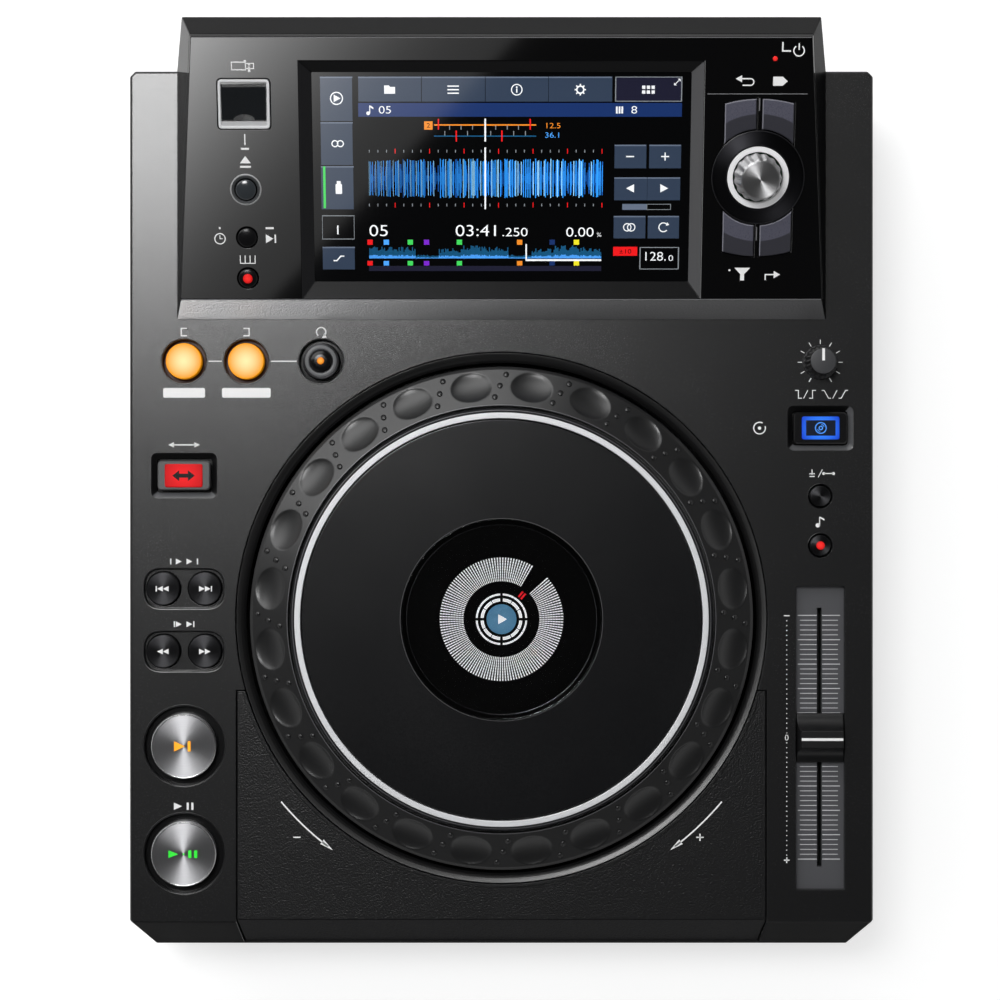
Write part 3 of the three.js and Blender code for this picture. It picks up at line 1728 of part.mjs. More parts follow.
add(player, "main_board", mainBoard(), boardGreen);
add(player, "power_supply", powerSupply(), sheetSteel);
add(player, "ac_inlet", acInlet(), rubberBlack);
add(player, "power_button", powerButton(), satinBlack);
add(player, "audio_jacks", audioJacks(), silver);
const network = boardPort(
  networkX,
  networkWidth,
  networkHeight,
  networkDepth,
  networkCavityWidth,
  networkCavityHeight,
);
add(player, "network_port", network, sheetSteel);
const computer = boardPort(
  computerX,
  computerWidth,
  computerHeight,
  computerDepth,
  computerCavityWidth,
  computerCavityHeight,
);
add(player, "computer_port", computer, sheetSteel);

export default player;
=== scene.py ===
# %% [markdown]
# This lesson dresses a tabletop player for DJs. The solid parts come in as a fixed
# frame, already in their right places, and each cell adds the fine shapes and finishes
# that a maker would see in the real one. Sizes in this file are in millimetres, and
# one factor turns them into Blender's metres.

# %% Load the frame
import math
import random

import bmesh
import bpy
from mathutils import Matrix, Vector


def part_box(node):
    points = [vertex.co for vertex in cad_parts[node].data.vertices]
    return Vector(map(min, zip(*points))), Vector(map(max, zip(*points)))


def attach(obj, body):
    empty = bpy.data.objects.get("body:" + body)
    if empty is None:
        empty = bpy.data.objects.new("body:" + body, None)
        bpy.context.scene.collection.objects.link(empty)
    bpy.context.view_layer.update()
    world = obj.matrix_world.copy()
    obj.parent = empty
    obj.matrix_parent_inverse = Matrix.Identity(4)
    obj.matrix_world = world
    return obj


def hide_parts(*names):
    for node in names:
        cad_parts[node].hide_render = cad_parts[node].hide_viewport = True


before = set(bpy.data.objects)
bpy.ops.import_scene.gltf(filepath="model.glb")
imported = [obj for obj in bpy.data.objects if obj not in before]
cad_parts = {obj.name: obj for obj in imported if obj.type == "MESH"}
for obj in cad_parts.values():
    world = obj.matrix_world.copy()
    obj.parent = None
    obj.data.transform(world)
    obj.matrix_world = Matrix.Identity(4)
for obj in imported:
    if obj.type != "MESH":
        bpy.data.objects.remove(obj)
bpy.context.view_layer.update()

MM = 0.001
TINY = 1e-6
random.seed(7)

# %% [markdown]
# The player is built round a few lines: the deck's height, the jog wheel's centre and
# the tilted face of the pod. Everything is placed from those, so they come first. Most
# of them are read from a solid of the frame.

# %% Main lines
def low_corner(node):
    return [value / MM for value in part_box(node)[0]]


def high_corner(node):
    return [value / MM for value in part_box(node)[1]]


def middle_of(node):
    return [(a + b) / 2 for a, b in zip(low_corner(node), high_corner(node))]


FRONT = low_corner("lower_case")[1]
REAR = high_corner("lower_case")[1]
SIDE = high_corner("lower_case")[0]
LIP = high_corner("lower_case")[2]
DECK = 73.0
SKIN = 3.0
JOG_Y = middle_of("jog_rim")[1]
POD_FRONT = low_corner("display_housing")[1]
FACE_Y = POD_FRONT + 7.4
FACE_Z = DECK + 10.0
TILT = math.radians(13.43)
LEAN = math.tan(math.radians(16))
POD_FOOT = 133.5
FACE_LENGTH = 105.5
LEFT_X = middle_of("cue_button")[0]
RIGHT_X = middle_of("fader_cap")[0]
ON_FACE = Matrix.Translation((0, FACE_Y * MM, FACE_Z * MM)) @ Matrix.Rotation(TILT, 4, "X")
print("case", FRONT, REAR, SIDE, "jog centre", JOG_Y, "pod", POD_FRONT)


def on_deck(x, y, z=DECK):
    return Matrix.Translation((x * MM, y * MM, z * MM))


def over(node, z=DECK):
    x, y, _ = middle_of(node)
    return on_deck(x, y, z)


def on_face(u, v, w=0.0):
    return ON_FACE @ Matrix.Translation((u * MM, v * MM, w * MM))


# %% [markdown]
# The camera hangs straight over the deck at about a metre, as for a catalogue picture.
# A long lens keeps the pod from looming, but its sides still spread a little, which
# shows how tall it is.

# %% Camera
camera_data = bpy.data.cameras.new("camera")
camera_data.lens = 87.48
camera_data.sensor_width = 36
camera_data.clip_start = 0.05
camera_data.clip_end = 20
camera = bpy.data.objects.new("camera", camera_data)
camera.location = (-0.0006, -0.0040, 1.073)
camera.rotation_euler = (0, 0, 0)
bpy.context.scene.collection.objects.link(camera)
bpy.context.scene.camera = camera
bpy.context.scene.view_settings.view_transform = "Standard"
print("camera height:", round(camera.location.z, 3))

# %% [markdown]
# Finishes are made of nodes. Four effects come up again and again, so each is a node
# group: the fine stipple of moulded plastic, the leather grain of the front panel, the
# rings that a lathe leaves on metal, and the glow of a lamp under a coloured cap. The
# inputs of a node are filled from a table, with a link where another node gives a value.

# %% A group's shell
def new_group(name, takes, gives):
    group = bpy.data.node_groups.new(name, "ShaderNodeTree")
    for label, kind, value in takes:
        socket = group.interface.new_socket(label, in_out="INPUT", socket_type=kind)
        socket.default_value = value
    for label, kind in gives:
        group.interface.new_socket(label, in_out="OUTPUT", socket_type=kind)
    entry = group.nodes.new("NodeGroupInput")
    leave = group.nodes.new("NodeGroupOutput")
    return group, entry, leave


def feed(tree, node, values):
    for label, value in values.items():
        if isinstance(value, bpy.types.NodeSocket):
            tree.links.new(value, node.inputs[label])
        else:
            node.inputs[label].default_value = value


def add(tree, kind, values=None, **settings):
    node = tree.nodes.new(kind)
    for key, value in settings.items():
        setattr(node, key, value)
    feed(tree, node, values or {})
    return node


def sum_node(tree, operation, first, second, clamp=False):
    node = add(tree, "ShaderNodeMath", {0: first, 1: second}, operation=operation,
               use_clamp=clamp)
    return node.outputs[0]


def mix_colour(tree, share, first, second):
    node = add(tree, "ShaderNodeMix", {0: share, 6: first, 7: second}, data_type="RGBA")
    return node.outputs[2]


COLOUR, NUMBER = "NodeSocketColor", "NodeSocketFloat"
print("groups so far:", len(bpy.data.node_groups))

# %% [markdown]
# Moulded plastic is never quite even. Spark-eroded steel leaves a stipple of about a
# third of a millimetre, and the sheen drifts slowly over a large panel. Two noises, one
# fine and one broad, give both, and the fine one also lifts the surface.

# %% Moulded stipple
def make_stipple():
    group, entry, leave = new_group(
        "moulded_stipple",
        [("Colour", COLOUR, (0.03, 0.03, 0.03, 1)), ("Roughness", NUMBER, 0.5),
         ("Fineness", NUMBER, 2600.0), ("Unevenness", NUMBER, 0.1)],
        [("Colour", COLOUR), ("Roughness", NUMBER), ("Height", NUMBER)],
    )
    colour = entry.outputs["Colour"]
    place = add(group, "ShaderNodeTexCoord").outputs["Object"]
    fine = add(group, "ShaderNodeTexNoise",
               {"Vector": place, "Scale": entry.outputs["Fineness"], "Detail": 3})
    broad = add(group, "ShaderNodeTexNoise", {"Vector": place, "Scale": 22})
    drift = sum_node(group, "MULTIPLY",
                     sum_node(group, "SUBTRACT", broad.outputs["Fac"], 0.5), 0.3)
    speck = sum_node(group, "SUBTRACT", fine.outputs["Fac"], 0.5)
    both = sum_node(group, "ADD", drift, speck)
    wander = sum_node(group, "MULTIPLY", both, entry.outputs["Unevenness"])
    lighter = mix_colour(group, 0.5, colour, (0.5, 0.5, 0.5, 1))
    share = sum_node(group, "MULTIPLY", wander, 0.5, clamp=True)
    feed(group, leave, {"Colour": mix_colour(group, share, colour, lighter),
                        "Roughness": sum_node(group, "ADD", entry.outputs["Roughness"],
                                              wander),
                        "Height": fine.outputs["Fac"]})
    return group


STIPPLE = make_stipple()
print("made", STIPPLE.name)

# %% [markdown]
# The front panel and the pod's riser have a leather grain: small rounded pads, about
# two thirds of a millimetre across, with creases between them. A cell pattern gives the
# pads, and a noise bends its straight borders so that no two are alike.

# %% Leather grain
def make_leather():
    group, entry, leave = new_group(
        "leather_grain",
        [("Colour", COLOUR, (0.03, 0.03, 0.03, 1)), ("Roughness", NUMBER, 0.6),
         ("Cells per metre", NUMBER, 1500.0), ("Crease", NUMBER, 0.25)],
        [("Colour", COLOUR), ("Roughness", NUMBER), ("Height", NUMBER)],
    )
    colour = entry.outputs["Colour"]
    place = add(group, "ShaderNodeTexCoord").outputs["Object"]
    bend = add(group, "ShaderNodeTexNoise", {"Vector": place, "Scale": 900})
    shift = add(group, "ShaderNodeVectorMath", operation="SCALE")
    feed(group, shift, {0: bend.outputs["Color"], "Scale": 0.0005})
    bent = add(group, "ShaderNodeVectorMath", {0: place, 1: shift.outputs[0]},
               operation="ADD")
    cells = add(group, "ShaderNodeTexVoronoi", feature="SMOOTH_F1")
    feed(group, cells, {"Vector": bent.outputs[0],
                        "Scale": entry.outputs["Cells per metre"]})
    pad = sum_node(group, "SUBTRACT", 1.0, cells.outputs["Distance"], clamp=True)
    dark = mix_colour(group, 0.55, colour, (0, 0, 0, 1))
    share = sum_node(group, "MULTIPLY", cells.outputs["Distance"], entry.outputs["Crease"])
    polish = sum_node(group, "MULTIPLY", pad, -0.12)
    feed(group, leave, {"Colour": mix_colour(group, share, colour, dark),
                        "Roughness": sum_node(group, "ADD", entry.outputs["Roughness"],
                                              polish),
                        "Height": pad})
    return group


LEATHER = make_leather()
print("made", LEATHER.name)

# %% [markdown]
# A turned or spun piece carries fine rings round its axis. The group measures how far a
# point is from the piece's own axis and looks up a noise by that distance alone, so the
# pattern is the same all the way round. Each such piece has its origin on its axis.

# %% Lathe rings
def radius_of(tree):
    place = add(tree, "ShaderNodeTexCoord").outputs["Object"]
    split = add(tree, "ShaderNodeSeparateXYZ", {0: place})
    flat = add(tree, "ShaderNodeCombineXYZ", {0: split.outputs[0], 1: split.outputs[1]})
    length = add(tree, "ShaderNodeVectorMath", {0: flat.outputs[0]}, operation="LENGTH")
    return length.outputs["Value"]


def make_rings():
    group, entry, leave = new_group(
        "lathe_rings",
        [("Colour", COLOUR, (0.5, 0.5, 0.5, 1)), ("Roughness", NUMBER, 0.3),
         ("Rings per metre", NUMBER, 3000.0), ("Contrast", NUMBER, 0.3)],
        [("Colour", COLOUR), ("Roughness", NUMBER), ("Height", NUMBER)],
    )
    noise = add(group, "ShaderNodeTexNoise", noise_dimensions="1D")
    feed(group, noise, {"W": radius_of(group), "Scale": entry.outputs["Rings per metre"],
                        "Detail": 2})
    share = sum_node(group, "MULTIPLY", noise.outputs["Fac"], entry.outputs["Contrast"])
    rough = sum_node(group, "MULTIPLY", share, 0.3)
    feed(group, leave, {"Colour": mix_colour(group, share, entry.outputs["Colour"],
                                             (0.02, 0.02, 0.02, 1)),
                        "Roughness": sum_node(group, "ADD", entry.outputs["Roughness"],
                                              rough),
                        "Height": noise.outputs["Fac"]})
    return group


RINGS = make_rings()
print("made", RINGS.name)

# %% [markdown]
# Under a lit key sits one small lamp, so the cap is palest over the lamp and deepens
# towards its edge. The group gives that colour by distance from the cap's axis, and
# the same colour feeds both the plastic and its glow.

# %% Lamp under a cap
def make_glow():
    group, entry, leave = new_group(
        "lamp_under_cap",
        [("Edge", COLOUR, (0.9, 0.3, 0.05, 1)), ("Middle", COLOUR, (1, 0.8, 0.5, 1)),
         ("Reach", NUMBER, 0.007)],
        [("Colour", COLOUR)],
    )
    share = sum_node(group, "DIVIDE", radius_of(group), entry.outputs["Reach"], clamp=True)
    soft = sum_node(group, "POWER", share, 1.4)
    feed(group, leave, {"Colour": mix_colour(group, soft, entry.outputs["Middle"],
                                             entry.outputs["Edge"])})
    return group


GLOW = make_glow()
print("made", GLOW.name)

# %% [markdown]
# With the groups in hand a finish is one call: it makes a material, drops the group in
# and wires it to the Principled shader. What is the same all over, such as a clear coat
# or how strongly a lamp glows, is set on the shader itself.

# %% A finish from a group
def finish(name, group, values, bump=0.0, metallic=0.0, distance=0.0001, **plain):
    material = bpy.data.materials.new(name)
    material.use_nodes = True
    tree = material.node_tree
    shader = tree.nodes["Principled BSDF"]
    effect = add(tree, "ShaderNodeGroup", node_tree=group)
    feed(tree, effect, values)
    feed(tree, shader, {"Base Color": effect.outputs["Colour"], "Metallic": metallic})
    if "Roughness" in effect.outputs:
        feed(tree, shader, {"Roughness": effect.outputs["Roughness"]})
    if bump:
        relief = add(tree, "ShaderNodeBump", {"Strength": bump, "Distance": distance,
                                              "Height": effect.outputs["Height"]})
        feed(tree, shader, {"Normal": relief.outputs["Normal"]})
    feed(tree, shader, {label.replace("_", " "): value for label, value in plain.items()})
    return material


def moulded(name, colour, roughness, bump=0.12, fineness=2600.0, unevenness=0.1, **plain):
    values = {"Colour": (*colour, 1), "Roughness": roughness, "Fineness": fineness,
              "Unevenness": unevenness}
    return finish(name, STIPPLE, values, bump=bump, **plain)


def leather(name, colour, roughness, cells=1500.0, bump=0.5, crease=0.25, **plain):
    values = {"Colour": (*colour, 1), "Roughness": roughness, "Cells per metre": cells,
              "Crease": crease}
    return finish(name, LEATHER, values, bump=bump, distance=0.0002, **plain)


def spun(name, colour, roughness, rings=3000.0, contrast=0.3, metallic=1.0, streak=0.0,
         **plain):
    values = {"Colour": (*colour, 1), "Roughness": roughness, "Rings per metre": rings,
              "Contrast": contrast}
    material = finish(name, RINGS, values, bump=0.05, metallic=metallic, distance=0.00005,
                      **plain)
    if streak:
        tree = material.node_tree
        turn = add(tree, "ShaderNodeTangent", direction_type="RADIAL", axis="Z")
        feed(tree, tree.nodes["Principled BSDF"],
             {"Anisotropic": streak, "Anisotropic Rotation": 0.25,
              "Tangent": turn.outputs[0]})
    return material


def lit_cap(name, edge, middle, reach, strength, roughness=0.4, shine=0.12):
    values = {"Edge": (*edge, 1), "Middle": (*middle, 1), "Reach": reach * MM}
    material = finish(name, GLOW, values, Roughness=roughness, Specular_IOR_Level=shine)
    tree = material.node_tree
    effect = next(node for node in tree.nodes if node.type == "GROUP")
    feed(tree, tree.nodes["Principled BSDF"],
         {"Emission Color": effect.outputs["Colour"], "Emission Strength": strength})
    return material


print("materials so far:", len(bpy.data.materials))

# %% [markdown]
# The finishes of this player. The case is a satin charcoal, the pod is polished black,
# the jog wheel's rim a little greyer than the case, and the ring round its platter is
# turned bright. Printed marks are a flat white ink with a trace of unevenness.

# %% Finishes
SLOPE_SHINE = 0.014
SATIN = moulded("case_satin", (0.0058, 0.0059, 0.0064), 0.255, bump=0.16,
                Specular_IOR_Level=1.0)
# Painted shade: a darker, duller copy of the satin for the case's front slope.
SATIN_SLOPE_SHADE = moulded("case_slope_painted_shade", (0.0030, 0.0030, 0.0034), 0.45,
                      Specular_IOR_Level=SLOPE_SHINE)
SATIN_DARK = moulded("case_dark", (0.008, 0.008, 0.009), 0.5)
GRAINED = leather("front_panel_grain", (0.0058, 0.0059, 0.0064), 0.42, cells=1700.0,
                  bump=0.6, Specular_IOR_Level=0.5)
# Painted shade: a duller copy of the grain for the front panel's slope.
GRAIN_SLOPE_SHADE = leather("front_slope_grain_painted_shade", (0.011, 0.011, 0.012), 0.5,
                      Specular_IOR_Level=SLOPE_SHINE)
# Painted light: the riser's grain is paler than the deck's plastic.
RISER_GRAIN_PAINTED_LIGHT = leather("riser_grain_painted_light", (0.020, 0.020, 0.021), 0.5, cells=1350.0, crease=0.6,
                      Specular_IOR_Level=1.0)
GLOSS = moulded("pod_gloss", (0.0018, 0.0018, 0.0020), 0.05, bump=0.0, unevenness=0.015)
# Painted shade: a duller copy of the gloss for pod faces turned from the lamp.
GLOSS_SLOPE_SHADE = moulded("pod_slope_painted_shade", (0.0030, 0.0030, 0.0034), 0.3, Specular_IOR_Level=0.03)
RECESS_BLACK = moulded("recess_black", (0.0030, 0.0030, 0.0034), 0.3,
                       Specular_IOR_Level=0.15)
# Painted light on the screen recess's side walls, dim grey and pale grey.
RECESS_GREY = moulded("recess_grey", (0.012, 0.012, 0.013), 0.3, Specular_IOR_Level=0.15)
RECESS_PAINTED_LIGHT = moulded("recess_painted_light", (0.075, 0.075, 0.078), 0.3, Specular_IOR_Level=0.3)
DISPLAY_BLACK = moulded("display_black", (0.0005, 0.0005, 0.0006), 0.6, bump=0.0,
                        Specular_IOR_Level=0.0)
WELL_BLACK = moulded("well_black", (0.0015, 0.0015, 0.0017), 0.34, bump=0.05)
WELL_MOUTH = moulded("well_mouth", (0.0045, 0.0045, 0.0048), 0.34, Specular_IOR_Level=1.0)
RIM_GREY = moulded("rim_satin", (0.0080, 0.0081, 0.0086), 0.36, bump=0.08,
                   Specular_IOR_Level=1.0)
KEY_BLACK = moulded("key_black", (0.0040, 0.0040, 0.0045), 0.22, bump=0.03)
# Painted shade: the orange keys' flanges as seen in the shaded gap.
KEY_MAROON_SHADE = moulded("key_maroon_painted_shade", (0.045, 0.008, 0.005), 0.4, bump=0.03)
KEY_PALE = moulded("key_pale", (0.15, 0.153, 0.158), 0.34, bump=0.04)
PLATE_GREY = moulded("lever_plate_grey", (0.060, 0.060, 0.062), 0.40, Specular_IOR_Level=0.8)
SLATE = moulded("cover_slate", (0.0075, 0.0090, 0.0105), 0.2, bump=0.05)
SCALE_GREY = moulded("fader_floor_grey", (0.068, 0.069, 0.076), 0.5)
RUBBER = moulded("foot_rubber_black", (0.012, 0.012, 0.012), 0.85, bump=0.3, fineness=1500.0)
KNOB_BLACK = moulded("knob_black", (0.0050, 0.0050, 0.0055), 0.36, Specular_IOR_Level=0.6)
PAINTED = moulded("painted_steel", (0.03, 0.03, 0.032), 0.6, bump=0.3, fineness=1800.0)
STEEL = moulded("plated_steel", (0.45, 0.46, 0.48), 0.32, bump=0.03, metallic=1.0)
BOARD_GREEN = moulded("board_green", (0.02, 0.12, 0.05), 0.4)
ACETAL = moulded("bearing_acetal", (0.70, 0.66, 0.55), 0.45)
WHITE_INK = moulded("white_ink", (0.92, 0.92, 0.92), 0.6, bump=0.0, unevenness=0.04)
FROSTED = moulded("frosted_frame", (0.72, 0.73, 0.74), 0.3, bump=0.02, Specular_IOR_Level=0.8)
PLATTER_BLACK = moulded("platter_black", (0.0018, 0.0020, 0.0028), 0.205, bump=0.14,
                        fineness=2200.0, unevenness=0.12, Specular_IOR_Level=1.0)
BRIGHT_RING = spun("ring_bright", (0.82, 0.83, 0.85), 0.5, rings=4000.0, contrast=0.06,
                   metallic=0.4, Specular_IOR_Level=1.0)
# Painted shade: dark metal for the jog ring's chamfer, also used on the bezel's edge.
RING_SHADE = spun("ring_chamfer", (0.030, 0.030, 0.034), 0.3, contrast=0.1, metallic=0.5)
RING_LINE = spun("ring_line", (0.20, 0.20, 0.21), 0.3, contrast=0.1, metallic=0.5)
SPUN_KEY = spun("key_spun", (0.62, 0.62, 0.64), 0.46, contrast=0.16, streak=0.9)
SPUN_DARK = spun("bezel_spun", (0.035, 0.035, 0.040), 0.42, streak=0.9)
CHROME = spun("bright_trim", (0.75, 0.75, 0.76), 0.2, contrast=0.12, streak=0.4)
KNOB_SPUN = spun("knob_spun", (0.74, 0.74, 0.75), 0.44, contrast=0.15, streak=0.9)
ORANGE_CAP = lit_cap("loop_orange", (0.90, 0.32, 0.0), (1.0, 0.80, 0.40), 7.3, 0.22)
RED_CAP = lit_cap("direction_red", (0.48, 0.004, 0.006), (0.80, 0.014, 0.018), 9.0, 0.25)
RED_LAMP = lit_cap("red_lamp", (0.55, 0.004, 0.006), (0.88, 0.030, 0.025), 2.0, 0.3)
ORANGE_LAMP = lit_cap("orange_lamp", (0.70, 0.17, 0.005), (0.92, 0.40, 0.05), 1.5, 0.3)
WHITE_LAMP = lit_cap("selector_light", (0.80, 0.80, 0.81), (0.50, 0.50, 0.50), 12.4, 0.15)
print("finishes:", len(bpy.data.materials))

# %% [markdown]
# Glass over a screen has to be true glass, so that it mirrors the lamps and still lets
# the picture through. Its surface stays smooth, with a breath of colour variation that
# a coating would leave.

# %% Window glass
CLEAR_GLASS = moulded("window_glass", (0.97, 0.98, 1.0), 0.02, bump=0.0, unevenness=0.01,
                      Transmission_Weight=1.0, IOR=1.45)
print("glass:", CLEAR_GLASS.name)

# %% [markdown]
# Helpers for shapes. A turned piece is a profile swept round an axis, with every corner
# of the profile rounded, because real edges catch a line of light. A flat piece is an
# outline pushed up to a height. Both leave the piece's origin at its own middle.

# %% Rounded profiles
def rounded(profile, radius, steps=4, closed=True):
    count = len(profile)
    result = []
    for i, (x, y) in enumerate(profile):
        if not closed and i in (0, count - 1):
            result.append((x, y))
            continue
        point = Vector((x, y))
        before = Vector(profile[i - 1]) - point
        after = Vector(profile[(i + 1) % count]) - point
        if before.length < TINY or after.length < TINY:
            result.append((x, y))
            continue
        half = before.angle(after) / 2
        if half > math.radians(85):
            result.append((x, y))
            continue
        reach = min(radius / math.tan(half), before.length * 0.45, after.length * 0.45)
        start = point + before.normalized() * reach
        end = point + after.normalized() * reach
        for step in range(steps + 1):
            t = step / steps
            spot = start * (1 - t) ** 2 + point * 2 * t * (1 - t) + end * t * t
            result.append((spot.x, spot.y))
    return result


print("points round a square:", len(rounded([(0, 0), (4, 0), (4, 4), (0, 4)], 1)))

# %% [markdown]
# A finished piece needs four things: one material, its place, smooth shading that
# breaks at real edges, and a body to ride on. The last modifier weighs each corner's
# shading by the size of its faces, so that flat plastic stays flat up to a soft edge.
# Most meshes are rows of points, one row to each height, with a skin between the rows.

# %% Finished objects
def shown(name, mesh, material, body, place=Matrix.Identity(4), smooth=40):
    mesh.materials.clear()
    mesh.materials.append(material)
    piece = bpy.data.objects.new(name, mesh)
    bpy.context.scene.collection.objects.link(piece)
    piece.matrix_world = place
    if smooth:
        mesh.shade_smooth()
        mesh.set_sharp_from_angle(angle=math.radians(smooth))
        flat = piece.modifiers.new("flat_stays_flat", "WEIGHTED_NORMAL")
        flat.keep_sharp = True
    if body:
        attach(piece, body)
    return piece


def to_mesh(name, points, faces):
    mesh = bpy.data.meshes.new(name)
    mesh.from_pydata([[value * MM for value in point] for point in points], [], faces)
    work = bmesh.new()
    work.from_mesh(mesh)
    bmesh.ops.recalc_face_normals(work, faces=work.faces)
    work.to_mesh(mesh)
    work.free()
    return mesh


def walls(rows, count, ring=False):
    faces = []
    for row in range(rows if ring else rows - 1):
        a, b = row * count, (row + 1) % rows * count
        for i in range(count):
            j = (i + 1) % count
            faces.append([a + i, a + j, b + j, b + i])
    return faces


def skinned(name, points, count, ring=False):
    faces = walls(len(points) // count, count, ring)
    if not ring:
        faces += [list(range(count)), list(range(len(points) - count, len(points)))]
    return to_mesh(name, points, faces)


# %% [markdown]
# Keys, rings, knobs and the jog wheel are all round, as if made on a lathe. A modifier
# could spin a profile, but rows of points built here are open to a ripple, which later
# cuts scallops and knurls.

# %% Turned pieces
def turned_mesh(name, profile, steps=128, ripple=None):
    points, faces, rows = [], [], []
    closed = profile[0][0] > TINY
    for radius, z in profile:
        if radius < TINY:
            rows.append([len(points)])
            points.append((0, 0, z))
            continue
        start = len(points)
        for i in range(steps):
            angle = 2 * math.pi * i / steps
            r = radius - (ripple(radius, z, angle) if ripple else 0)
            points.append((r * math.cos(angle), r * math.sin(angle), z))
        rows.append(list(range(start, start + steps)))
    pairs = list(zip(rows, rows[1:])) + ([(rows[-1], rows[0])] if closed else [])
    for low, high in pairs:
        for i in range(steps):
            j = (i + 1) % steps
            corners = [low[i % len(low)], low[j % len(low)],
                       high[j % len(high)], high[i % len(high)]]
            corners = list(dict.fromkeys(corners))
            if len(corners) > 2:
                faces.append(corners)
    return to_mesh(name, points, faces)


def turned(name, profile, material, body, place, radius=0.3, steps=128, ripple=None):
    closed = profile[0][0] > TINY
    soft = rounded(profile, radius, closed=closed) if radius else profile
    return shown(name, turned_mesh(name, soft, steps, ripple), material, body, place)


print("meshes so far:", len(bpy.data.meshes))

# %% [markdown]
# Plates and wedges are skinned between outlines at two or more heights. The same
# outline helpers draw discs, boxes with round corners, and an outline drawn in by a
# wall's thickness.

# %% Lofted and flat pieces
def loft_mesh(name, sections, ring=False):
    points = [(x, y, z) for z, outline in sections for x, y in outline]
    return skinned(name, points, len(sections[0][1]), ring)


def disc_outline(radius, steps=96, x=0.0, y=0.0):
    return [(x + radius * math.cos(2 * math.pi * i / steps),
             y + radius * math.sin(2 * math.pi * i / steps)) for i in range(steps)]


def box_outline(width, height, corner=0.0, x=0.0, y=0.0, steps=6):
    a, b = width / 2, height / 2
    corners = [(x + a, y - b), (x + a, y + b), (x - a, y + b), (x - a, y - b)]
    return rounded(corners, corner, steps) if corner else corners


def drawn_in(outline, distance):
    edges = []
    count = len(outline)
    for i, (x, y) in enumerate(outline):
        nx, ny = outline[(i + 1) % count]
        length = math.hypot(nx - x, ny - y)
        a, b = -(ny - y) / length, (nx - x) / length
        edges.append((a, b, a * x + b * y + distance))
    result = []
    for i in range(count):
        a, b, c = edges[i - 1]
        d, e, f = edges[i]
        cross = a * e - b * d
        result.append(((c * e - f * b) / cross, (a * f - d * c) / cross))
    return result


print("points on a soft box:", len(box_outline(10, 6, 1)))

# %% [markdown]
# Panels with holes are carved: cutters are taken out of a closed body one after another,
# as a mill would, and a narrow bevel is then run along every edge that is left. The
# cutters themselves are thrown away.

# %% Carving
def carved(name, body_mesh, cutters, material, body, place=Matrix.Identity(4), edge=0.35):
    piece = bpy.data.objects.new(name, body_mesh)
    bpy.context.scene.collection.objects.link(piece)
    tools = []
    for i, cutter in enumerate(cutters):
        tool = bpy.data.objects.new(f"{name}_cutter_{i}", cutter)
        bpy.context.scene.collection.objects.link(tool)
        tools.append(tool)
        step = piece.modifiers.new(f"cut_{i}", "BOOLEAN")
        step.operation = "DIFFERENCE"
        step.solver = "EXACT"
        step.object = tool
    bpy.context.view_layer.update()
    seen = piece.evaluated_get(bpy.context.evaluated_depsgraph_get())
    mesh = bpy.data.meshes.new_from_object(seen)
    piece.modifiers.clear()
    piece.data = mesh
    for tool in tools:
        bpy.data.objects.remove(tool)
    mesh.name = name
    mesh.materials.clear()
    mesh.materials.append(material)
    mesh.shade_smooth()
    piece.matrix_world = place
    bevel = piece.modifiers.new("edges", "BEVEL")
    bevel.width = edge * MM
    bevel.segments = 3
    bevel.limit_method = "ANGLE"
    bevel.angle_limit = math.radians(18)
    bevel.use_clamp_overlap = False
    bevel.harden_normals = True
    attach(piece, body)
    return piece


def repaint(piece, material, wanted):
    piece.data.materials.append(material)
    number = len(piece.data.materials) - 1
    turned_faces = 0
    for face in piece.data.polygons:
        if wanted(face):
            face.material_index = number
            turned_faces += 1
    print(piece.name, "faces in", material.name, turned_faces)


def rod_mesh(radius, low, high, x=0.0, y=0.0, steps=96):
    outline = disc_outline(radius, steps, x, y)
    return loft_mesh("cutter", [(low, outline), (high, outline)])


def slab_mesh(outline, low, high):
    return loft_mesh("cutter", [(low, outline), (high, outline)])


def moved_outline(outline, x, y):
    return [(a + x, b + y) for a, b in outline]


print("nodes in the frame:", len(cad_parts))

# %% [markdown]
# The upper case is one moulding: a flat deck, a front bevel that slopes down to a lip,
# and corners that are cut off more at the lip than at the deck. It is a loft between
# three outlines of eight points, hollowed by a smaller loft, and then every opening in
# the deck is cut. Centres come from the solids of the keys.

# %% Case outlines
CORNER_X, CORNER_Y, CORNER_REAR = 6.4, 8.5, 2.2


def case_outline(front, cut_x, cut_y, rear_cut=CORNER_REAR):
    return [(-SIDE + cut_x, front), (SIDE - cut_x, front), (SIDE, front + cut_y),
            (SIDE, REAR - rear_cut), (SIDE - rear_cut, REAR), (-SIDE + rear_cut, REAR),
            (-SIDE, REAR - rear_cut), (-SIDE, front + cut_y)]


def inner_outline(front, wall):
    outline = case_outline(front, CORNER_X + wall, CORNER_Y + wall, CORNER_REAR + wall)
    return drawn_in(outline, wall)


BEVEL_RUN = 14.8


def bevel_at(z):
    return BEVEL_RUN * (z - LIP) / (DECK - LIP)


def upper_mesh(wall=0.0):
    top = DECK - wall
    sections = []
    for z in (LIP - 1 if wall else LIP, top - 0.8):
        share = 1 - (z - LIP) / (DECK - LIP)
        if wall:
            outline = inner_outline(FRONT + bevel_at(z), wall)
        else:
            outline = case_outline(FRONT + bevel_at(z), 0.9 + 5.5 * share, 0.9 + 7.6 * share)
        sections.append((z, outline))
    crown = drawn_in(sections[-1][1], 0.8)
    pull = 0.8 * BEVEL_RUN / 34 - 0.8
    sections.append((top, [(x, y + pull if y < JOG_Y else y) for x, y in crown]))
    return loft_mesh("upper", sections)


print("front bevel:", bevel_at(DECK))
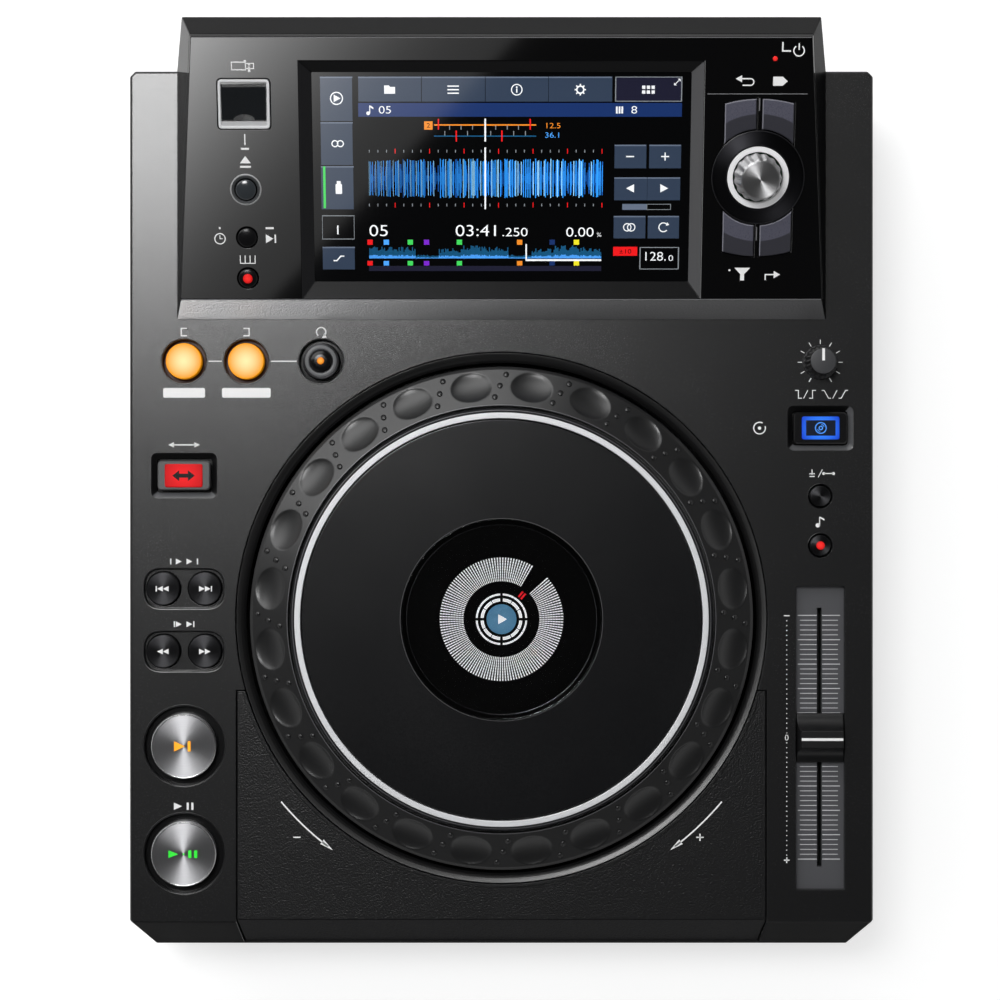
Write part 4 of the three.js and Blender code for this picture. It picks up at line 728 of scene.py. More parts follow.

# %% [markdown]
# The deck's openings come next. A table gives each round key its hole, its cap and how
# far it rises. All cutters go through in one pass, and the front slope then takes a
# darker finish with almost no sheen, as painted shade for surfaces that lean away from
# the lamp.

# %% Upper case
PANEL_HALF = 108.8
PANEL_REAR = JOG_Y - 30
ROUND_KEYS = {
    "loop_in_button": (8.9, 7.4, 1.5), "loop_out_button": (8.9, 7.4, 1.5),
    "reloop_button": (8.9, 7.4, 1.5), "cue_button": (16.4, 13.2, 1.6),
    "play_button": (16.4, 13.2, 1.6), "tempo_range_button": (4.9, 4.2, 0.8),
    "master_tempo_button": (4.9, 4.2, 0.8),
}
DISH_KEY_HOLE = 7.0
for node in ("track_back_button", "track_forward_button", "search_back_button",
             "search_forward_button"):
    ROUND_KEYS[node] = (DISH_KEY_HOLE, 6.7, 0.6)
PAST_DECK = DECK + 2
DECK_CUT = (66, PAST_DECK)
JOG_HOLE, ROUND = 109.4, 256
cuts = [upper_mesh(SKIN), rod_mesh(JOG_HOLE, *DECK_CUT, 0, JOG_Y, ROUND)]
seam = box_outline(2 * PANEL_HALF + 0.6, 120, y=PANEL_REAR + 0.3 - 60)
cuts.append(slab_mesh(seam, 37, PAST_DECK))
for node, (hole, _, _) in ROUND_KEYS.items():
    x, y, _ = middle_of(node)
    cuts.append(rod_mesh(hole, *DECK_CUT, x, y))
for node in ("track_back_button", "search_back_button"):
    dish = box_outline(32.7, 16.3, 7.85, LEFT_X, middle_of(node)[1], steps=20)
    cuts.append(slab_mesh(dish, DECK - 1.6, PAST_DECK))
for node in ("direction_button", "jog_mode_button"):
    x, y, _ = middle_of(node)
    cuts.append(slab_mesh(box_outline(26.2, 17.6, 2.4, x, y), *DECK_CUT))
speed_x, speed_y, _ = middle_of("speed_knob")
cuts.append(rod_mesh(3.3, *DECK_CUT, speed_x, speed_y))
FADER_Y = middle_of("tempo_scale_plate")[1]
cuts.append(slab_mesh(box_outline(19.9, 124.7, 0.4, RIGHT_X, FADER_Y), *DECK_CUT))
window_mid = (POD_FRONT + 9.9 + REAR - 6.5) / 2
window_run = REAR - 6.5 - POD_FRONT - 9.9
cuts.append(slab_mesh(box_outline(242, window_run, y=window_mid), *DECK_CUT))
upper = carved("upper_case_shell", upper_mesh(), cuts, SATIN, "case", edge=0.4)
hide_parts("upper_case")


def on_slope(face):
    return face.center.y / MM < FRONT + 24 and face.normal.y < -0.5


# Painted shade on the case's front slope.
repaint(upper, SATIN_SLOPE_SHADE, on_slope)
print("upper case faces:", len(upper.data.polygons))

# %% [markdown]
# Between the columns lies a separate grained panel that wraps down over the front
# bevel. Its section is a bent strip two to three millimetres thick, run from seam to
# seam, and the jog wheel's hole bites a half-moon out of it.

# %% Front panel
def beam_mesh(outline, left, right):
    points = [(x, y, z) for x in (left, right) for y, z in outline]
    return skinned("beam", points, len(outline))


under_deck = DECK - SKIN
strip = [(FRONT + 1, LIP), (FRONT + 1 + bevel_at(DECK), DECK), (PANEL_REAR, DECK),
         (PANEL_REAR, under_deck), (FRONT + 3.4 + bevel_at(under_deck), under_deck),
         (FRONT + 3, LIP)]
panel = carved("front_panel_skin", beam_mesh(strip, -PANEL_HALF, PANEL_HALF),
               [rod_mesh(JOG_HOLE, 30, PAST_DECK, 0, JOG_Y, ROUND)], GRAINED, "case",
               edge=0.45)
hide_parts("front_panel")
# Painted shade on the front panel's slope.
repaint(panel, GRAIN_SLOPE_SHADE, on_slope)
points = []
section = rounded([(109.5, -0.3), (111.1, -0.3), (110.9, 0.28), (109.5, 0.28)], 0.2)
for i in range(161):
    angle = math.radians(196 + 148 * i / 160)
    c, s = math.cos(angle), math.sin(angle)
    if JOG_Y + 109.5 * s <= PANEL_REAR:
        points += [(r * c, r * s, z) for r, z in section]
shown("front_panel_lip", skinned("lip", points, len(section)), GRAINED, "case",
      on_deck(0, JOG_Y))
print("lip sections:", len(points) // len(section))

# %% [markdown]
# The lower case is a tray. Its front wall leans back towards the table, so that the
# player seems to float, and its rear wall has the holes for the sockets. The cuts at
# the rear follow the sockets' own solids, with the same gap all round.

# %% Lower case
def lower_mesh(wall=0.0):
    def section(back):
        if wall:
            return inner_outline(FRONT + back, wall)
        return case_outline(FRONT + back, CORNER_X, CORNER_Y)
    low = 6.2 + wall
    return loft_mesh("lower", [(low, section(12.5 * (33 - low) / 26.8)), (33, section(0)),
                               (LIP + (1 if wall else 0), section(0))])


REARWARD = Matrix.Rotation(-math.pi / 2, 4, "X")


def rear_rod(radius, x, z):
    mesh = rod_mesh(radius, REAR - 4, REAR + 2, x, -z, 48)
    mesh.transform(REARWARD)
    return mesh


WALL, GAP = 2.5, 0.3
cuts = [lower_mesh(WALL)]
for node in ("ac_inlet", "network_port", "computer_port"):
    low, high = low_corner(node), high_corner(node)
    left, right = low[0] - GAP, high[0] + GAP
    hole = [(left, REAR - 4), (right, REAR - 4), (right, REAR + 2), (left, REAR + 2)]
    cuts.append(slab_mesh(hole, low[2] - GAP, high[2] + GAP))
power_x, _, power_z = middle_of("power_button")
JACK_X = middle_of("audio_jacks")[0]
JACK_Z = 19.6
JACKS = (-15, 0, 15)
cuts.append(rear_rod(5.3, power_x, power_z))
for shift in JACKS:
    cuts.append(rear_rod(4.5, JACK_X + shift, JACK_Z))
lower = carved("lower_case_shell", lower_mesh(), cuts, SATIN_DARK, "case", edge=0.4)
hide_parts("lower_case")
print("lower case faces:", len(lower.data.polygons))

# %% [markdown]
# Four rubber feet carry it. Each is turned, with a soft outer edge and a shallow
# hollow in its sole that grips the table. Eight screws hold the plate between them.

# %% Feet and screws
sole = [(0, 0.7), (7.5, 0.7), (8, 0), (11, 0), (13, 5), (0, 5)]
for node in ("foot_front_left", "foot_front_right", "foot_rear_left", "foot_rear_right"):
    foot = turned(node + "_pad", sole, RUBBER, "case", over(node, 0), radius=0.6, steps=72)
    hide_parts(node)
head = [(0, -0.8), (1.4, -0.8), (1.6, -0.9), (3.0, -0.75), (3.4, 0), (0, 0)]
screws = [(x, y) for x in (-140, -60, 60, 140) for y in (FRONT + 26, REAR - 12)]
for number, (x, y) in enumerate(screws):
    turned(f"case_screw_{number}", head, STEEL, "case", on_deck(x, y, 5), radius=0.15,
           steps=36)
print("screws under the plate:", len(screws))

# %% [markdown]
# The jog wheel sits in a fixed black well with a cone-shaped mouth. Well, ring, platter
# and window are all turned, with 256 steps round, because their edges are long bright
# circles in the picture and every facet would show.

# %% Jog well
JOG = on_deck(0, JOG_Y, 0)
mouth = [(109.1, 72.75), (108.2, 72.55), (107.2, 72.2), (106.2, 71.6), (105.2, 70.6)]
well_profile = [(38.6, 52), (108, 52), (108, 68.3), (112.9, 68.3), (112.9, 70), (109.1, 70),
                *mouth, (105.2, 54.5), (44, 54.5), (44, 76), (38.6, 76)]
well = turned("jog_well_tray", well_profile, WELL_BLACK, "case", JOG, radius=0.15,
              steps=ROUND)
repaint(well, WELL_MOUTH, lambda face: face.center.z / MM > 70.5
        and math.hypot(face.center.x, face.center.y) / MM > 104)
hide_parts("jog_well")
print("jog well faces:", len(well.data.polygons))

# %% [markdown]
# The ring, the platter and its window are three turned pieces on the jog wheel. The
# ring's outer chamfer is painted darker, as painted shade, and a hair-thin line follows
# it. The platter rides on its own body, because it gives way under a hand.

# %% Bright ring, platter and window
ring_profile = [(81.8, 79), (86.1, 79), (86.1, 83.5), (84.1, 86), (81.8, 86)]
ring = turned("jog_ring_turned", ring_profile, BRIGHT_RING, "jog", JOG, steps=ROUND)
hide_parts("jog_ring")
# Painted shade on the ring's outer chamfer.
repaint(ring, RING_SHADE, lambda face: math.hypot(face.center.x, face.center.y) / MM > 84.2)
turned("jog_ring_line", [(85.0, 84.5), (85.3, 84.5), (85.3, 84.8), (85.0, 85.0)], RING_LINE,
       "jog", JOG, radius=0, steps=ROUND)
platter_profile = [(38.5, 82.8), (43.2, 82.8), (43.2, 84), (70, 84), (70, 79.8), (73, 79.8),
                   (73, 84), (81.2, 84), (81.2, 86), (41, 86), (41, 84), (38.5, 84)]
platter = turned("jog_platter_plate", platter_profile, PLATTER_BLACK, "platter", JOG,
                 steps=ROUND)
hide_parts("jog_platter")
window_profile = [(0, 84), (40.7, 84), (40.7, 86), (0, 86)]
window = turned("jog_window_glass", window_profile, CLEAR_GLASS, "platter", JOG, radius=0.25,
                steps=ROUND)
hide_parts("jog_window")
print("ring, platter and window made")

# %% [markdown]
# The rim is a cone with 24 oval dimples for the fingers. Its top is a fine grid, and
# each point of the grid is lowered by a formula where it lies inside a dimple. That
# gives clean, even hollows that a cutter would leave ragged.

# %% Jog rim
RIM_OUTER, RIM_RUN = 102.3, 15.2
DIMPLE_RING, DIMPLE_STEP = 95.4, 15


def cone_z(r):
    return 76 + (RIM_OUTER - r) * 8 / RIM_RUN


radii = [RIM_OUTER - RIM_RUN * i / 44 for i in range(45)]
cone = [(r, cone_z(r)) for r in radii]
under = [(87.1, 79), (50.2, 79), (50.2, 77), (90, 77), (99.5, 73.2), (99.5, 68.5),
         (103.3, 68.5), (103.3, 75)]
rim_profile = cone + rounded(under, 0.3, closed=False)
rim_mesh = turned_mesh("jog_rim_cone", list(reversed(rim_profile)), steps=1152)
deepest = 0
for vertex in rim_mesh.vertices:
    x, y, z = (value / MM for value in vertex.co)
    r = math.hypot(x, y)
    if not 87.2 < r < 102.2 or abs(z - cone_z(r)) > 0.02:
        continue
    around = math.degrees(math.atan2(y, x)) % DIMPLE_STEP - DIMPLE_STEP / 2
    a = (r - DIMPLE_RING) / 6.1
    b = r * math.radians(around) / 8.4
    inside = 1 - a * a - b * b
    if inside > 0:
        drop = 1.5 * inside ** 0.75
        deepest = max(deepest, drop)
        vertex.co.z -= drop * MM
rim = shown("jog_rim_cone", rim_mesh, RIM_GREY, "jog", JOG, smooth=32)
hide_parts("jog_rim")
print("deepest dimple:", round(deepest, 2))

# %% [markdown]
# Seventy-two small domes stand between the dimples, three to a gap, in a slanting row.
# Copies of one ball would do, but they would be 72 objects. One mesh of low domes is
# lighter, and rides on the wheel as a whole.

# %% Grip bumps
BUMP_ROWS, BUMP_SIDES = 5, 16
points, faces = [], []
for gap_number in range(360 // DIMPLE_STEP):
    for r, turn in ((90.7, 1.7), (DIMPLE_RING, 0.35), (100.1, -1.1)):
        angle = math.radians(DIMPLE_STEP * gap_number + turn)
        x, y = r * math.cos(angle), r * math.sin(angle)
        start = len(points)
        for level in range(BUMP_ROWS):
            lift = level / BUMP_ROWS * math.pi / 2
            reach = 1.25 * math.cos(lift)
            for i in range(BUMP_SIDES):
                a = 2 * math.pi * i / BUMP_SIDES
                px, py = x + reach * math.cos(a), y + reach * math.sin(a)
                base = cone_z(math.hypot(px, py)) - 0.15
                points.append((px, py, base + 0.9 * math.sin(lift)))
        tip = len(points)
        points.append((x, y, cone_z(r) + 0.75))
        faces += [[start + corner for corner in face]
                  for face in walls(BUMP_ROWS, BUMP_SIDES)]
        top = tip - BUMP_SIDES
        faces += [[top + i, top + (i + 1) % BUMP_SIDES, tip] for i in range(BUMP_SIDES)]
        faces.append([start + i for i in range(BUMP_SIDES)][::-1])
bumps = shown("jog_rim_bumps", to_mesh("bumps", points, faces), RIM_GREY, "jog", JOG)
# Painted highlight: a thin pale ring where the rim's inner edge catches the lamps.
turned("jog_rim_crest", [(87.15, 83.6), (87.45, 83.6), (87.45, 83.95), (87.15, 84.05)],
       RING_LINE, "jog", JOG, radius=0, steps=ROUND)
print("bumps:", len(points) // (BUMP_ROWS * BUMP_SIDES + 1))

# %% [markdown]
# Round keys share one build: a cap with a rounded edge, a flange under the deck that
# keeps it in, and a stem down to its switch. The profile is the same as the solid's,
# with a real radius on each corner and a faint crown on top.

# %% Round keys
FLANGE_HIGH = -SKIN - 0.3
FLANGE_LOW = FLANGE_HIGH - 2.0
STEM_RADIUS = 1.6


# Painted shade: flange and stem under the deck turn black, or maroon under orange caps.
def paint_gap_shade(piece, material=KEY_BLACK):
    repaint(piece, material, lambda face: face.center.z / MM < -2.5)


def round_key(node, place, cap, hole, rise, material, radius=0.45, depth=13.1,
              crown=0.25):
    stem_low = -depth + 4.3
    profile = [(0, stem_low), (STEM_RADIUS, stem_low), (STEM_RADIUS, FLANGE_LOW),
               (hole + 1, FLANGE_LOW), (hole + 1, FLANGE_HIGH), (cap, FLANGE_HIGH),
               (cap, rise), (0, rise + crown)]
    piece = turned(node + "_cap", profile, material, node, place, radius=radius)
    paint_gap_shade(piece, KEY_MAROON_SHADE if material == ORANGE_CAP else KEY_BLACK)
    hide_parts(node)


KEY_FINISH = {"loop_in_button": (ORANGE_CAP, "key_orange"),
              "loop_out_button": (ORANGE_CAP, "key_orange"),
              "cue_button": (SPUN_KEY, "spun_metal"), "play_button": (SPUN_KEY, "spun_metal")}
SPUN_SMALL = spun("key_black_spun", (0.060, 0.060, 0.064), 0.42, streak=0.9)
for node, (hole, cap, rise) in ROUND_KEYS.items():
    material, slot = KEY_FINISH.get(node, (SPUN_SMALL, "key_plastic"))
    round_key(node, over(node), cap, hole, rise, material)
print("round keys:", len(ROUND_KEYS))

# %% [markdown]
# The two metal transport keys have a bright turned lip round the face, and the return
# key and tempo keys carry small lamps in domes. These trims ride with their key.

# %% Key trims
for node in ("cue_button", "play_button"):
    lip = [(12.75, 1.3), (13.35, 1.1), (13.35, 1.6), (13.0, 1.95), (12.75, 1.9)]
    turned(node + "_lip", lip, CHROME, node, over(node), radius=0.1, steps=160)
AGAIN = over("reloop_button")
turned("reloop_grey_ring", [(5.0, 1.2), (6.5, 1.2), (6.5, 1.75), (5.6, 2.0), (5.0, 1.9)],
       KEY_PALE, "reloop_button", AGAIN, radius=0.15)
turned("reloop_dome", [(0, 1), (4.7, 1), (4.7, 2.0), (4.0, 2.9), (2.6, 3.4), (0, 3.6)],
       KEY_BLACK, "reloop_button", AGAIN, radius=0.5)
turned("reloop_lamp", [(0, 3.2), (1.5, 3.2), (1.45, 3.65), (0.9, 3.85), (0, 3.9)],
       ORANGE_LAMP, "reloop_button", AGAIN, radius=0.2, steps=48)
turned("master_tempo_lamp", [(0, 0.8), (1.8, 0.8), (1.7, 1.25), (1.0, 1.5), (0, 1.55)],
       RED_LAMP, "master_tempo_button", over("master_tempo_button"), radius=0.2, steps=48)

# %% [markdown]
# On the real deck every opening has a fine bevel that catches the lamp. A bevel
# modifier can't follow such small rings evenly, so each opening gets a turned ring of
# its own, a tenth of a millimetre proud.

# %% Bevelled rims round the openings
# Painted light for the lever wells' walls that face the lamp.
WELL_PAINTED_LIGHT = moulded("well_painted_light", (0.085, 0.087, 0.092), 0.3, bump=0.03)
RIM_LIGHT = moulded("opening_rim", (0.012, 0.012, 0.013), 0.3, bump=0.03,
                    Specular_IOR_Level=1.0)
for node, (hole, _, _) in ROUND_KEYS.items():
    if hole == DISH_KEY_HOLE:
        continue
    wide = 0.75 if hole > 8 else 0.4
    rim_cut = [(hole - 0.05, -1.2), (hole + 0.05, -1.2), (hole + wide, 0.02),
               (hole + wide - 0.15, 0.12), (hole - 0.05, -0.55)]
    turned(node + "_opening_rim", rim_cut, RIM_LIGHT, "case", over(node), radius=0.08,
           steps=160)
print("opening rims done")

# %% [markdown]
# Marks on the real player are printed ink, a few hundredths of a millimetre thick. Here
# each one is a thin closed prism that stands just proud of its surface, so that it stays
# crisp from any distance and needs no picture file. Words on the photograph are not
# copied: plain symbols and numbers say what each key does.

# %% Strokes and shapes of ink
def stroke(points, width):
    sides = ([], [])
    count = len(points)
    for i in range(count):
        a = Vector(points[max(i - 1, 0)])
        b = Vector(points[i])
        c = Vector(points[min(i + 1, count - 1)])
        before = (b - a).normalized() if i else (c - b).normalized()
        after = (c - b).normalized() if i < count - 1 else before
        along = (before + after).normalized()
        across = Vector((-along.y, along.x))
        lean = max(0.5, across.dot(Vector((-before.y, before.x))))
        sides[0].append(tuple(b + across * width / 2 / lean))
        sides[1].append(tuple(b - across * width / 2 / lean))
    return sides[0][::-1] + sides[1]


def arc_points(radius, start, end, x=0.0, y=0.0, steps=24):
    angles = [math.radians(start + (end - start) * i / steps) for i in range(steps + 1)]
    return [(x + radius * math.cos(a), y + radius * math.sin(a)) for a in angles]


def ink_arc(radius, start, end, width, x=0.0, y=0.0, steps=24):
    outer = arc_points(radius + width / 2, start, end, x, y, steps)
    inner = arc_points(radius - width / 2, start, end, x, y, steps)
    return outer + inner[::-1]


def ink_ring(radius, width, x=0.0, y=0.0, steps=48):
    return [ink_arc(radius, 0, 180, width, x, y, steps),
            ink_arc(radius, 180, 360, width, x, y, steps)]


def bar(x, y, width, height):
    return box_outline(width, height, 0, x, y)


def marks(name, shapes, material, body, place, top=0.03, base=-0.05):
    points, faces = [], []
    for shape in shapes:
        start, count = len(points), len(shape)
        points += [(x, y, base) for x, y in shape] + [(x, y, top) for x, y in shape]
        faces.append([start + i for i in range(count)][::-1])
        faces.append([start + count + i for i in range(count)])
        for i in range(count):
            j = (i + 1) % count
            faces.append([start + i, start + j, start + count + j, start + count + i])
    return shown(name, to_mesh(name, points, faces), material, body, place, smooth=0)


def numbers(name, text, x, y, size, material, body, place, top=0.03, stretch=1.0):
    curve = bpy.data.curves.new(name, "FONT")
    curve.body = text
    curve.size = size * MM
    curve.align_x = "CENTER"
    curve.align_y = "CENTER"
    curve.extrude = 0.04 * MM
    curve.offset = -0.006 * size * MM
    letters = bpy.data.objects.new(name + "_curve", curve)
    bpy.context.scene.collection.objects.link(letters)
    bpy.context.view_layer.update()
    seen = letters.evaluated_get(bpy.context.evaluated_depsgraph_get())
    mesh = bpy.data.meshes.new_from_object(seen)
    bpy.data.objects.remove(letters)
    mesh.transform(Matrix.Translation((x * MM, y * MM, (top - 0.04) * MM))
                   @ Matrix.Diagonal((stretch, 1, 1, 1)))
    return shown(name, mesh, material, body, place, smooth=0)


print("lines in a ring of ink:", len(ink_ring(2, 0.3)))

# %% [markdown]
# Lever keys are plates in a rounded well. Each has a flange below the deck like the
# round keys, and a lit window set into its top. The direction key's window glows red
# all over, and the jog mode key's glows blue round a dark middle.

# %% Lever keys
BLUE_FRAME = lit_cap("jog_mode_blue", (0.006, 0.035, 0.45), (0.03, 0.20, 0.85), 9.0, 0.5)
MODE_DARK = moulded("jog_mode_dark", (0.010, 0.016, 0.035), 0.2, bump=0.0)
WINDOW_TOP = 1.75


def lever(node, width, height, material):
    face = box_outline(width, height, 2.0)
    flange = box_outline(28.2, 19.6, 3.0)
    crest = box_outline(width - 0.9, height - 0.9, 1.6)
    mesh = loft_mesh(node, [(FLANGE_LOW, flange), (FLANGE_HIGH, flange), (FLANGE_HIGH, face),
                            (0.75, face), (1.2, crest)])
    plate = shown(node + "_plate", mesh, material, node, over(node))
    # Painted shade on the flange under the deck.
    paint_gap_shade(plate)
    stem = rod_mesh(STEM_RADIUS, -8.8, -5.2, steps=32)
    shown(node + "_stem", stem, KEY_BLACK, node, over(node))
    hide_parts(node)
    return plate


def pillow(name, width, height, low, high, material, body, place, corner=1.0):
    steps = [(low, 0.0), (high - 0.35, 0.0), (high - 0.12, 0.14), (high, 0.45)]
    sections = [(z, box_outline(width - 2 * s, height - 2 * s, corner)) for z, s in steps]
    return shown(name, loft_mesh(name, sections), material, body, place)


plate = lever("direction_button", 21.6, 12.0, PLATE_GREY)
x, y, _ = middle_of("direction_button")
pillow("direction_window", 15.5, 9.6, 0.9, WINDOW_TOP, RED_CAP, "direction_button",
       on_deck(x, y - 0.1))
arrow = [(-4.6, 0), (-1.8, 2.2), (-1.8, 0.8), (1.8, 0.8), (1.8, 2.2), (4.6, 0), (1.8, -2.2),
         (1.8, -0.8), (-1.8, -0.8), (-1.8, -2.2)]
marks("direction_arrow", [arrow], KEY_BLACK, "direction_button",
      on_deck(x, y - 0.1, DECK + WINDOW_TOP))
plate = lever("jog_mode_button", 22.1, 13.0, KEY_BLACK)
place = over("jog_mode_button")
pillow("jog_mode_frame", 15.5, 9.5, 0.9, 1.6, BLUE_FRAME, "jog_mode_button", place)
pillow("jog_mode_pane", 12.4, 6.6, 1.2, WINDOW_TOP, MODE_DARK, "jog_mode_button", place, 0.4)
BLUE_MARK = lit_cap("jog_mode_mark", (0.03, 0.14, 0.62), (0.08, 0.30, 0.85), 5.0, 0.4)
disc_icon = ink_ring(2.2, 0.45) + ink_ring(0.7, 0.4)
disc_icon += [ink_arc(1.45, 20, 80, 0.3), ink_arc(1.45, 200, 260, 0.3)]
marks("jog_mode_disc", disc_icon, BLUE_MARK, "jog_mode_button",
      over("jog_mode_button", DECK + WINDOW_TOP))
print("lines in the disc symbol:", len(disc_icon))

# %% [markdown]
# Wells that aren't round get a rim too. It is skinned between outlines, like a picture
# frame. On the lever wells it also slopes inwards, and the two walls that face the lamp
# are painted lighter, as painted light.

# %% Rims of the lever wells and dishes
def outline_rim(name, width, height, corner, material, place, wide=0.8, funnel=0.0):
    inner = box_outline(width - 2 * funnel, height - 2 * funnel, corner - funnel / 3, steps=14)
    outer = box_outline(width + 2 * wide, height + 2 * wide, corner + wide, steps=14)
    middle = box_outline(width + wide, height + wide, corner + wide / 2, steps=14)
    sections = [(-1.6, inner), (-1.3, inner), (0.06, middle), (0.10, outer), (-0.12, outer),
                (-0.2, middle)]
    return shown(name, loft_mesh(name, sections, ring=True), material, "case", place)


for node in ("direction_button", "jog_mode_button"):
    x, y, _ = middle_of(node)
    funnel = outline_rim(node + "_well_rim", 26.1, 17.5, 2.35, WELL_BLACK, on_deck(x, y),
                         wide=0.6, funnel=1.6)
    sideways = -0.2 if node == "jog_mode_button" else -9
    # Painted light on the well walls that face the lamp.
    repaint(funnel, WELL_PAINTED_LIGHT, lambda face: 0.2 < face.normal.z < 0.9
            and (face.normal.y > 0.3 or face.normal.x < sideways))
    repaint(funnel, RIM_LIGHT, lambda face: face.normal.z > 0.9)
for node in ("track_back_button", "search_back_button"):
    outline_rim(node + "_dish_rim", 32.6, 16.2, 7.8, RIM_LIGHT,
                on_deck(LEFT_X, middle_of(node)[1]), wide=0.55)
print("levers and rims done")

# %% [markdown]
# The speed knob has a knurled skirt under a smooth grey cap. A ripple in the turned
# section gives the knurl. Its white pointer runs from the middle to the edge and rides
# with the knob.

# %% Speed knob
def knurl(radius, z, angle):
    return 0.5 * (1 - math.cos(20 * angle)) / 2 if 0.6 < z < 8.9 and radius > 5 else 0


knob_profile = [(0, -12.5), (3, -12.5), (3, 0.3), (7, 0.3), (7, 2.3), (6.2, 2.9), (5.7, 8.4),
                (5.2, 10.1), (0, 10.3)]
KNOB_GREY = spun("speed_knob_grey", (0.045, 0.046, 0.05), 0.4, contrast=0.2, metallic=0.0)
knob = turned("speed_knob_cap", knob_profile, KNOB_GREY, "speed", on_deck(speed_x, speed_y),
              radius=0.4, steps=240, ripple=knurl)
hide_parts("speed_knob")
repaint(knob, KNOB_BLACK, lambda face: face.normal.z < 0.8)
marks("speed_pointer", [bar(0, 2.65, 1.1, 5.0)], WHITE_INK, "speed",
      on_deck(speed_x, speed_y, DECK + 10.28))

# %% [markdown]
# The tempo fader slides in a long trough. Its cap is a saddle: a narrow ridge for the
# fingertip with a hollow slope on both sides, lit on the far slope and dark on the near
# one. The floor under it carries 51 fine lines.

# %% Tempo fader
SADDLE_TOP, SADDLE_FOOT, SADDLE_REACH = 79.9, 72.2, 10.1


def saddle_side(sign):
    result = []
    for i in range(13):
        t = i / 12
        y = (1 - t) ** 2 * 3.5 + 2 * t * (1 - t) * 4.4 + t * t * SADDLE_REACH
        z = (1 - t) ** 2 * SADDLE_TOP + 2 * t * (1 - t) * 73.0 + t * t * SADDLE_FOOT
        result.append((sign * y, z))
    return result


saddle = saddle_side(1)[::-1] + saddle_side(-1)
saddle += [(-SADDLE_REACH, 70.3), (SADDLE_REACH, 70.3)]
cap_mesh = beam_mesh(saddle, -9.65, 9.65)
for vertex in cap_mesh.vertices:
    vertex.co.x *= 1 - 0.11 * max(0.0, vertex.co.z / MM - SADDLE_FOOT) / 7.7
cap = carved("fader_cap_saddle", cap_mesh, [], KNOB_BLACK, "fader",
             on_deck(RIGHT_X, FADER_Y, 0), edge=0.3)
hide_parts("fader_cap")
marks("fader_line", [bar(0, 0, 17.0, 1.1)], WHITE_INK, "fader",
      on_deck(RIGHT_X, FADER_Y, SADDLE_TOP))
stem = loft_mesh("fader_stem", [(61.8, box_outline(1.3, 6)), (70.6, box_outline(1.3, 6))])
shown("fader_stem", stem, STEEL, "fader", on_deck(RIGHT_X, FADER_Y, 0), smooth=0)
ticks = []
for i in range(51):
    y = (i - 25) * 2.012
    long = i % 5 == 0
    ticks.append(bar(-5.0 if long else -4.55, y, 7.8 if long else 6.9, 0.34 if long else 0.26))
    ticks.append(bar(4.85 if long else 4.4, y, 7.4 if long else 6.5, 0.34 if long else 0.26))
TICK_GREY = moulded("tick_grey", (0.60, 0.60, 0.62), 0.5, bump=0.0, unevenness=0.05)
marks("fader_ticks", ticks, TICK_GREY, "case", on_deck(RIGHT_X, FADER_Y, 70.0))
print("fader ticks:", len(ticks))

# %% [markdown]
# The pod is a wedge with leaning sides. Its section is a five-cornered outline, and each
# corner's half-width follows from how high it is. The shell is hollow and stops just
# under the polished face plate.

# %% Pod shell
RIDGE_Y = FACE_Y + FACE_LENGTH * math.cos(TILT)
RIDGE_Z = FACE_Z + FACE_LENGTH * math.sin(TILT)
POD_REAR = RIDGE_Y + 12.4
POD_SIDE = [(REAR, DECK), (POD_REAR, RIDGE_Z - 22.5), (RIDGE_Y, RIDGE_Z), (FACE_Y, FACE_Z),
            (POD_FRONT, DECK)]


def pod_half(z, wall=0.0):
    return POD_FOOT - (z - DECK) * LEAN - wall / math.cos(math.radians(16))


def pod_mesh(wall=0.0):
    outline = drawn_in(POD_SIDE, wall) if wall else POD_SIDE
    points = [(s * pod_half(z, wall), y, z) for s in (-1, 1) for y, z in outline]
    return skinned("pod", points, len(outline))


above = slab_mesh(box_outline(320, 150, y=75), -SKIN - 0.3, 60)
above.transform(ON_FACE)
under_cut = slab_mesh(box_outline(242, window_run, y=window_mid), 71, 77)
pod = carved("pod_shell", pod_mesh(), [pod_mesh(WALL), above, under_cut], GLOSS, "case",
             edge=0.5)
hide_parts("display_housing")
# Painted light on the riser, which a flagged lamp also skims.
repaint(pod, RISER_GRAIN_PAINTED_LIGHT, lambda face: face.normal.y < -0.5 and face.center.y / MM < FACE_Y)
# Painted shade: the pod's rear bevel and right side take the duller gloss copy.
repaint(pod, GLOSS_SLOPE_SHADE, lambda face: face.normal.y > 0.3 or face.normal.x > 0.5)
print("pod faces:", len(pod.data.polygons))

# %% [markdown]
# The face plate is worked in its own plane. U runs to the right, v up the slope and w
# out of it. Its openings are cut square to the plane: the screen's recess, which narrows
# towards the glass, three keys, the data socket and the selector with its four keys.

# %% Face plate
LEFT_U, RIGHT_U = -103.0, 103.2
SOCKET_V, SELECT_V, STOP_V, TIME_V, QUANTIZE_V = 79.0, 49.8, 44.9, 25.5, 8.9
SELECT = on_face(RIGHT_U, SELECT_V)
GLASS = -3.3
KEY_GAP = 0.35
FACE_CUT = (-4, 1)
FACE_KEYS = {"stop_button": (STOP_V, 4.15, 1.4), "time_button": (TIME_V, 3.9, 0.7),
             "quantize_button": (QUANTIZE_V, 3.9, 0.7)}
SEGMENTS = {"back_button": (-1, 1), "tag_button": (1, 1), "filter_button": (-1, -1),
            "shortcut_button": (1, -1)}
SEGMENT_INNER = 19.3
SEGMENT_CROWN = {1: 31.3, -1: 31.8}
SCREEN_HALF, SCREEN_TOP, SCREEN_MIDDLE = 75.9, 91.2, 49.3


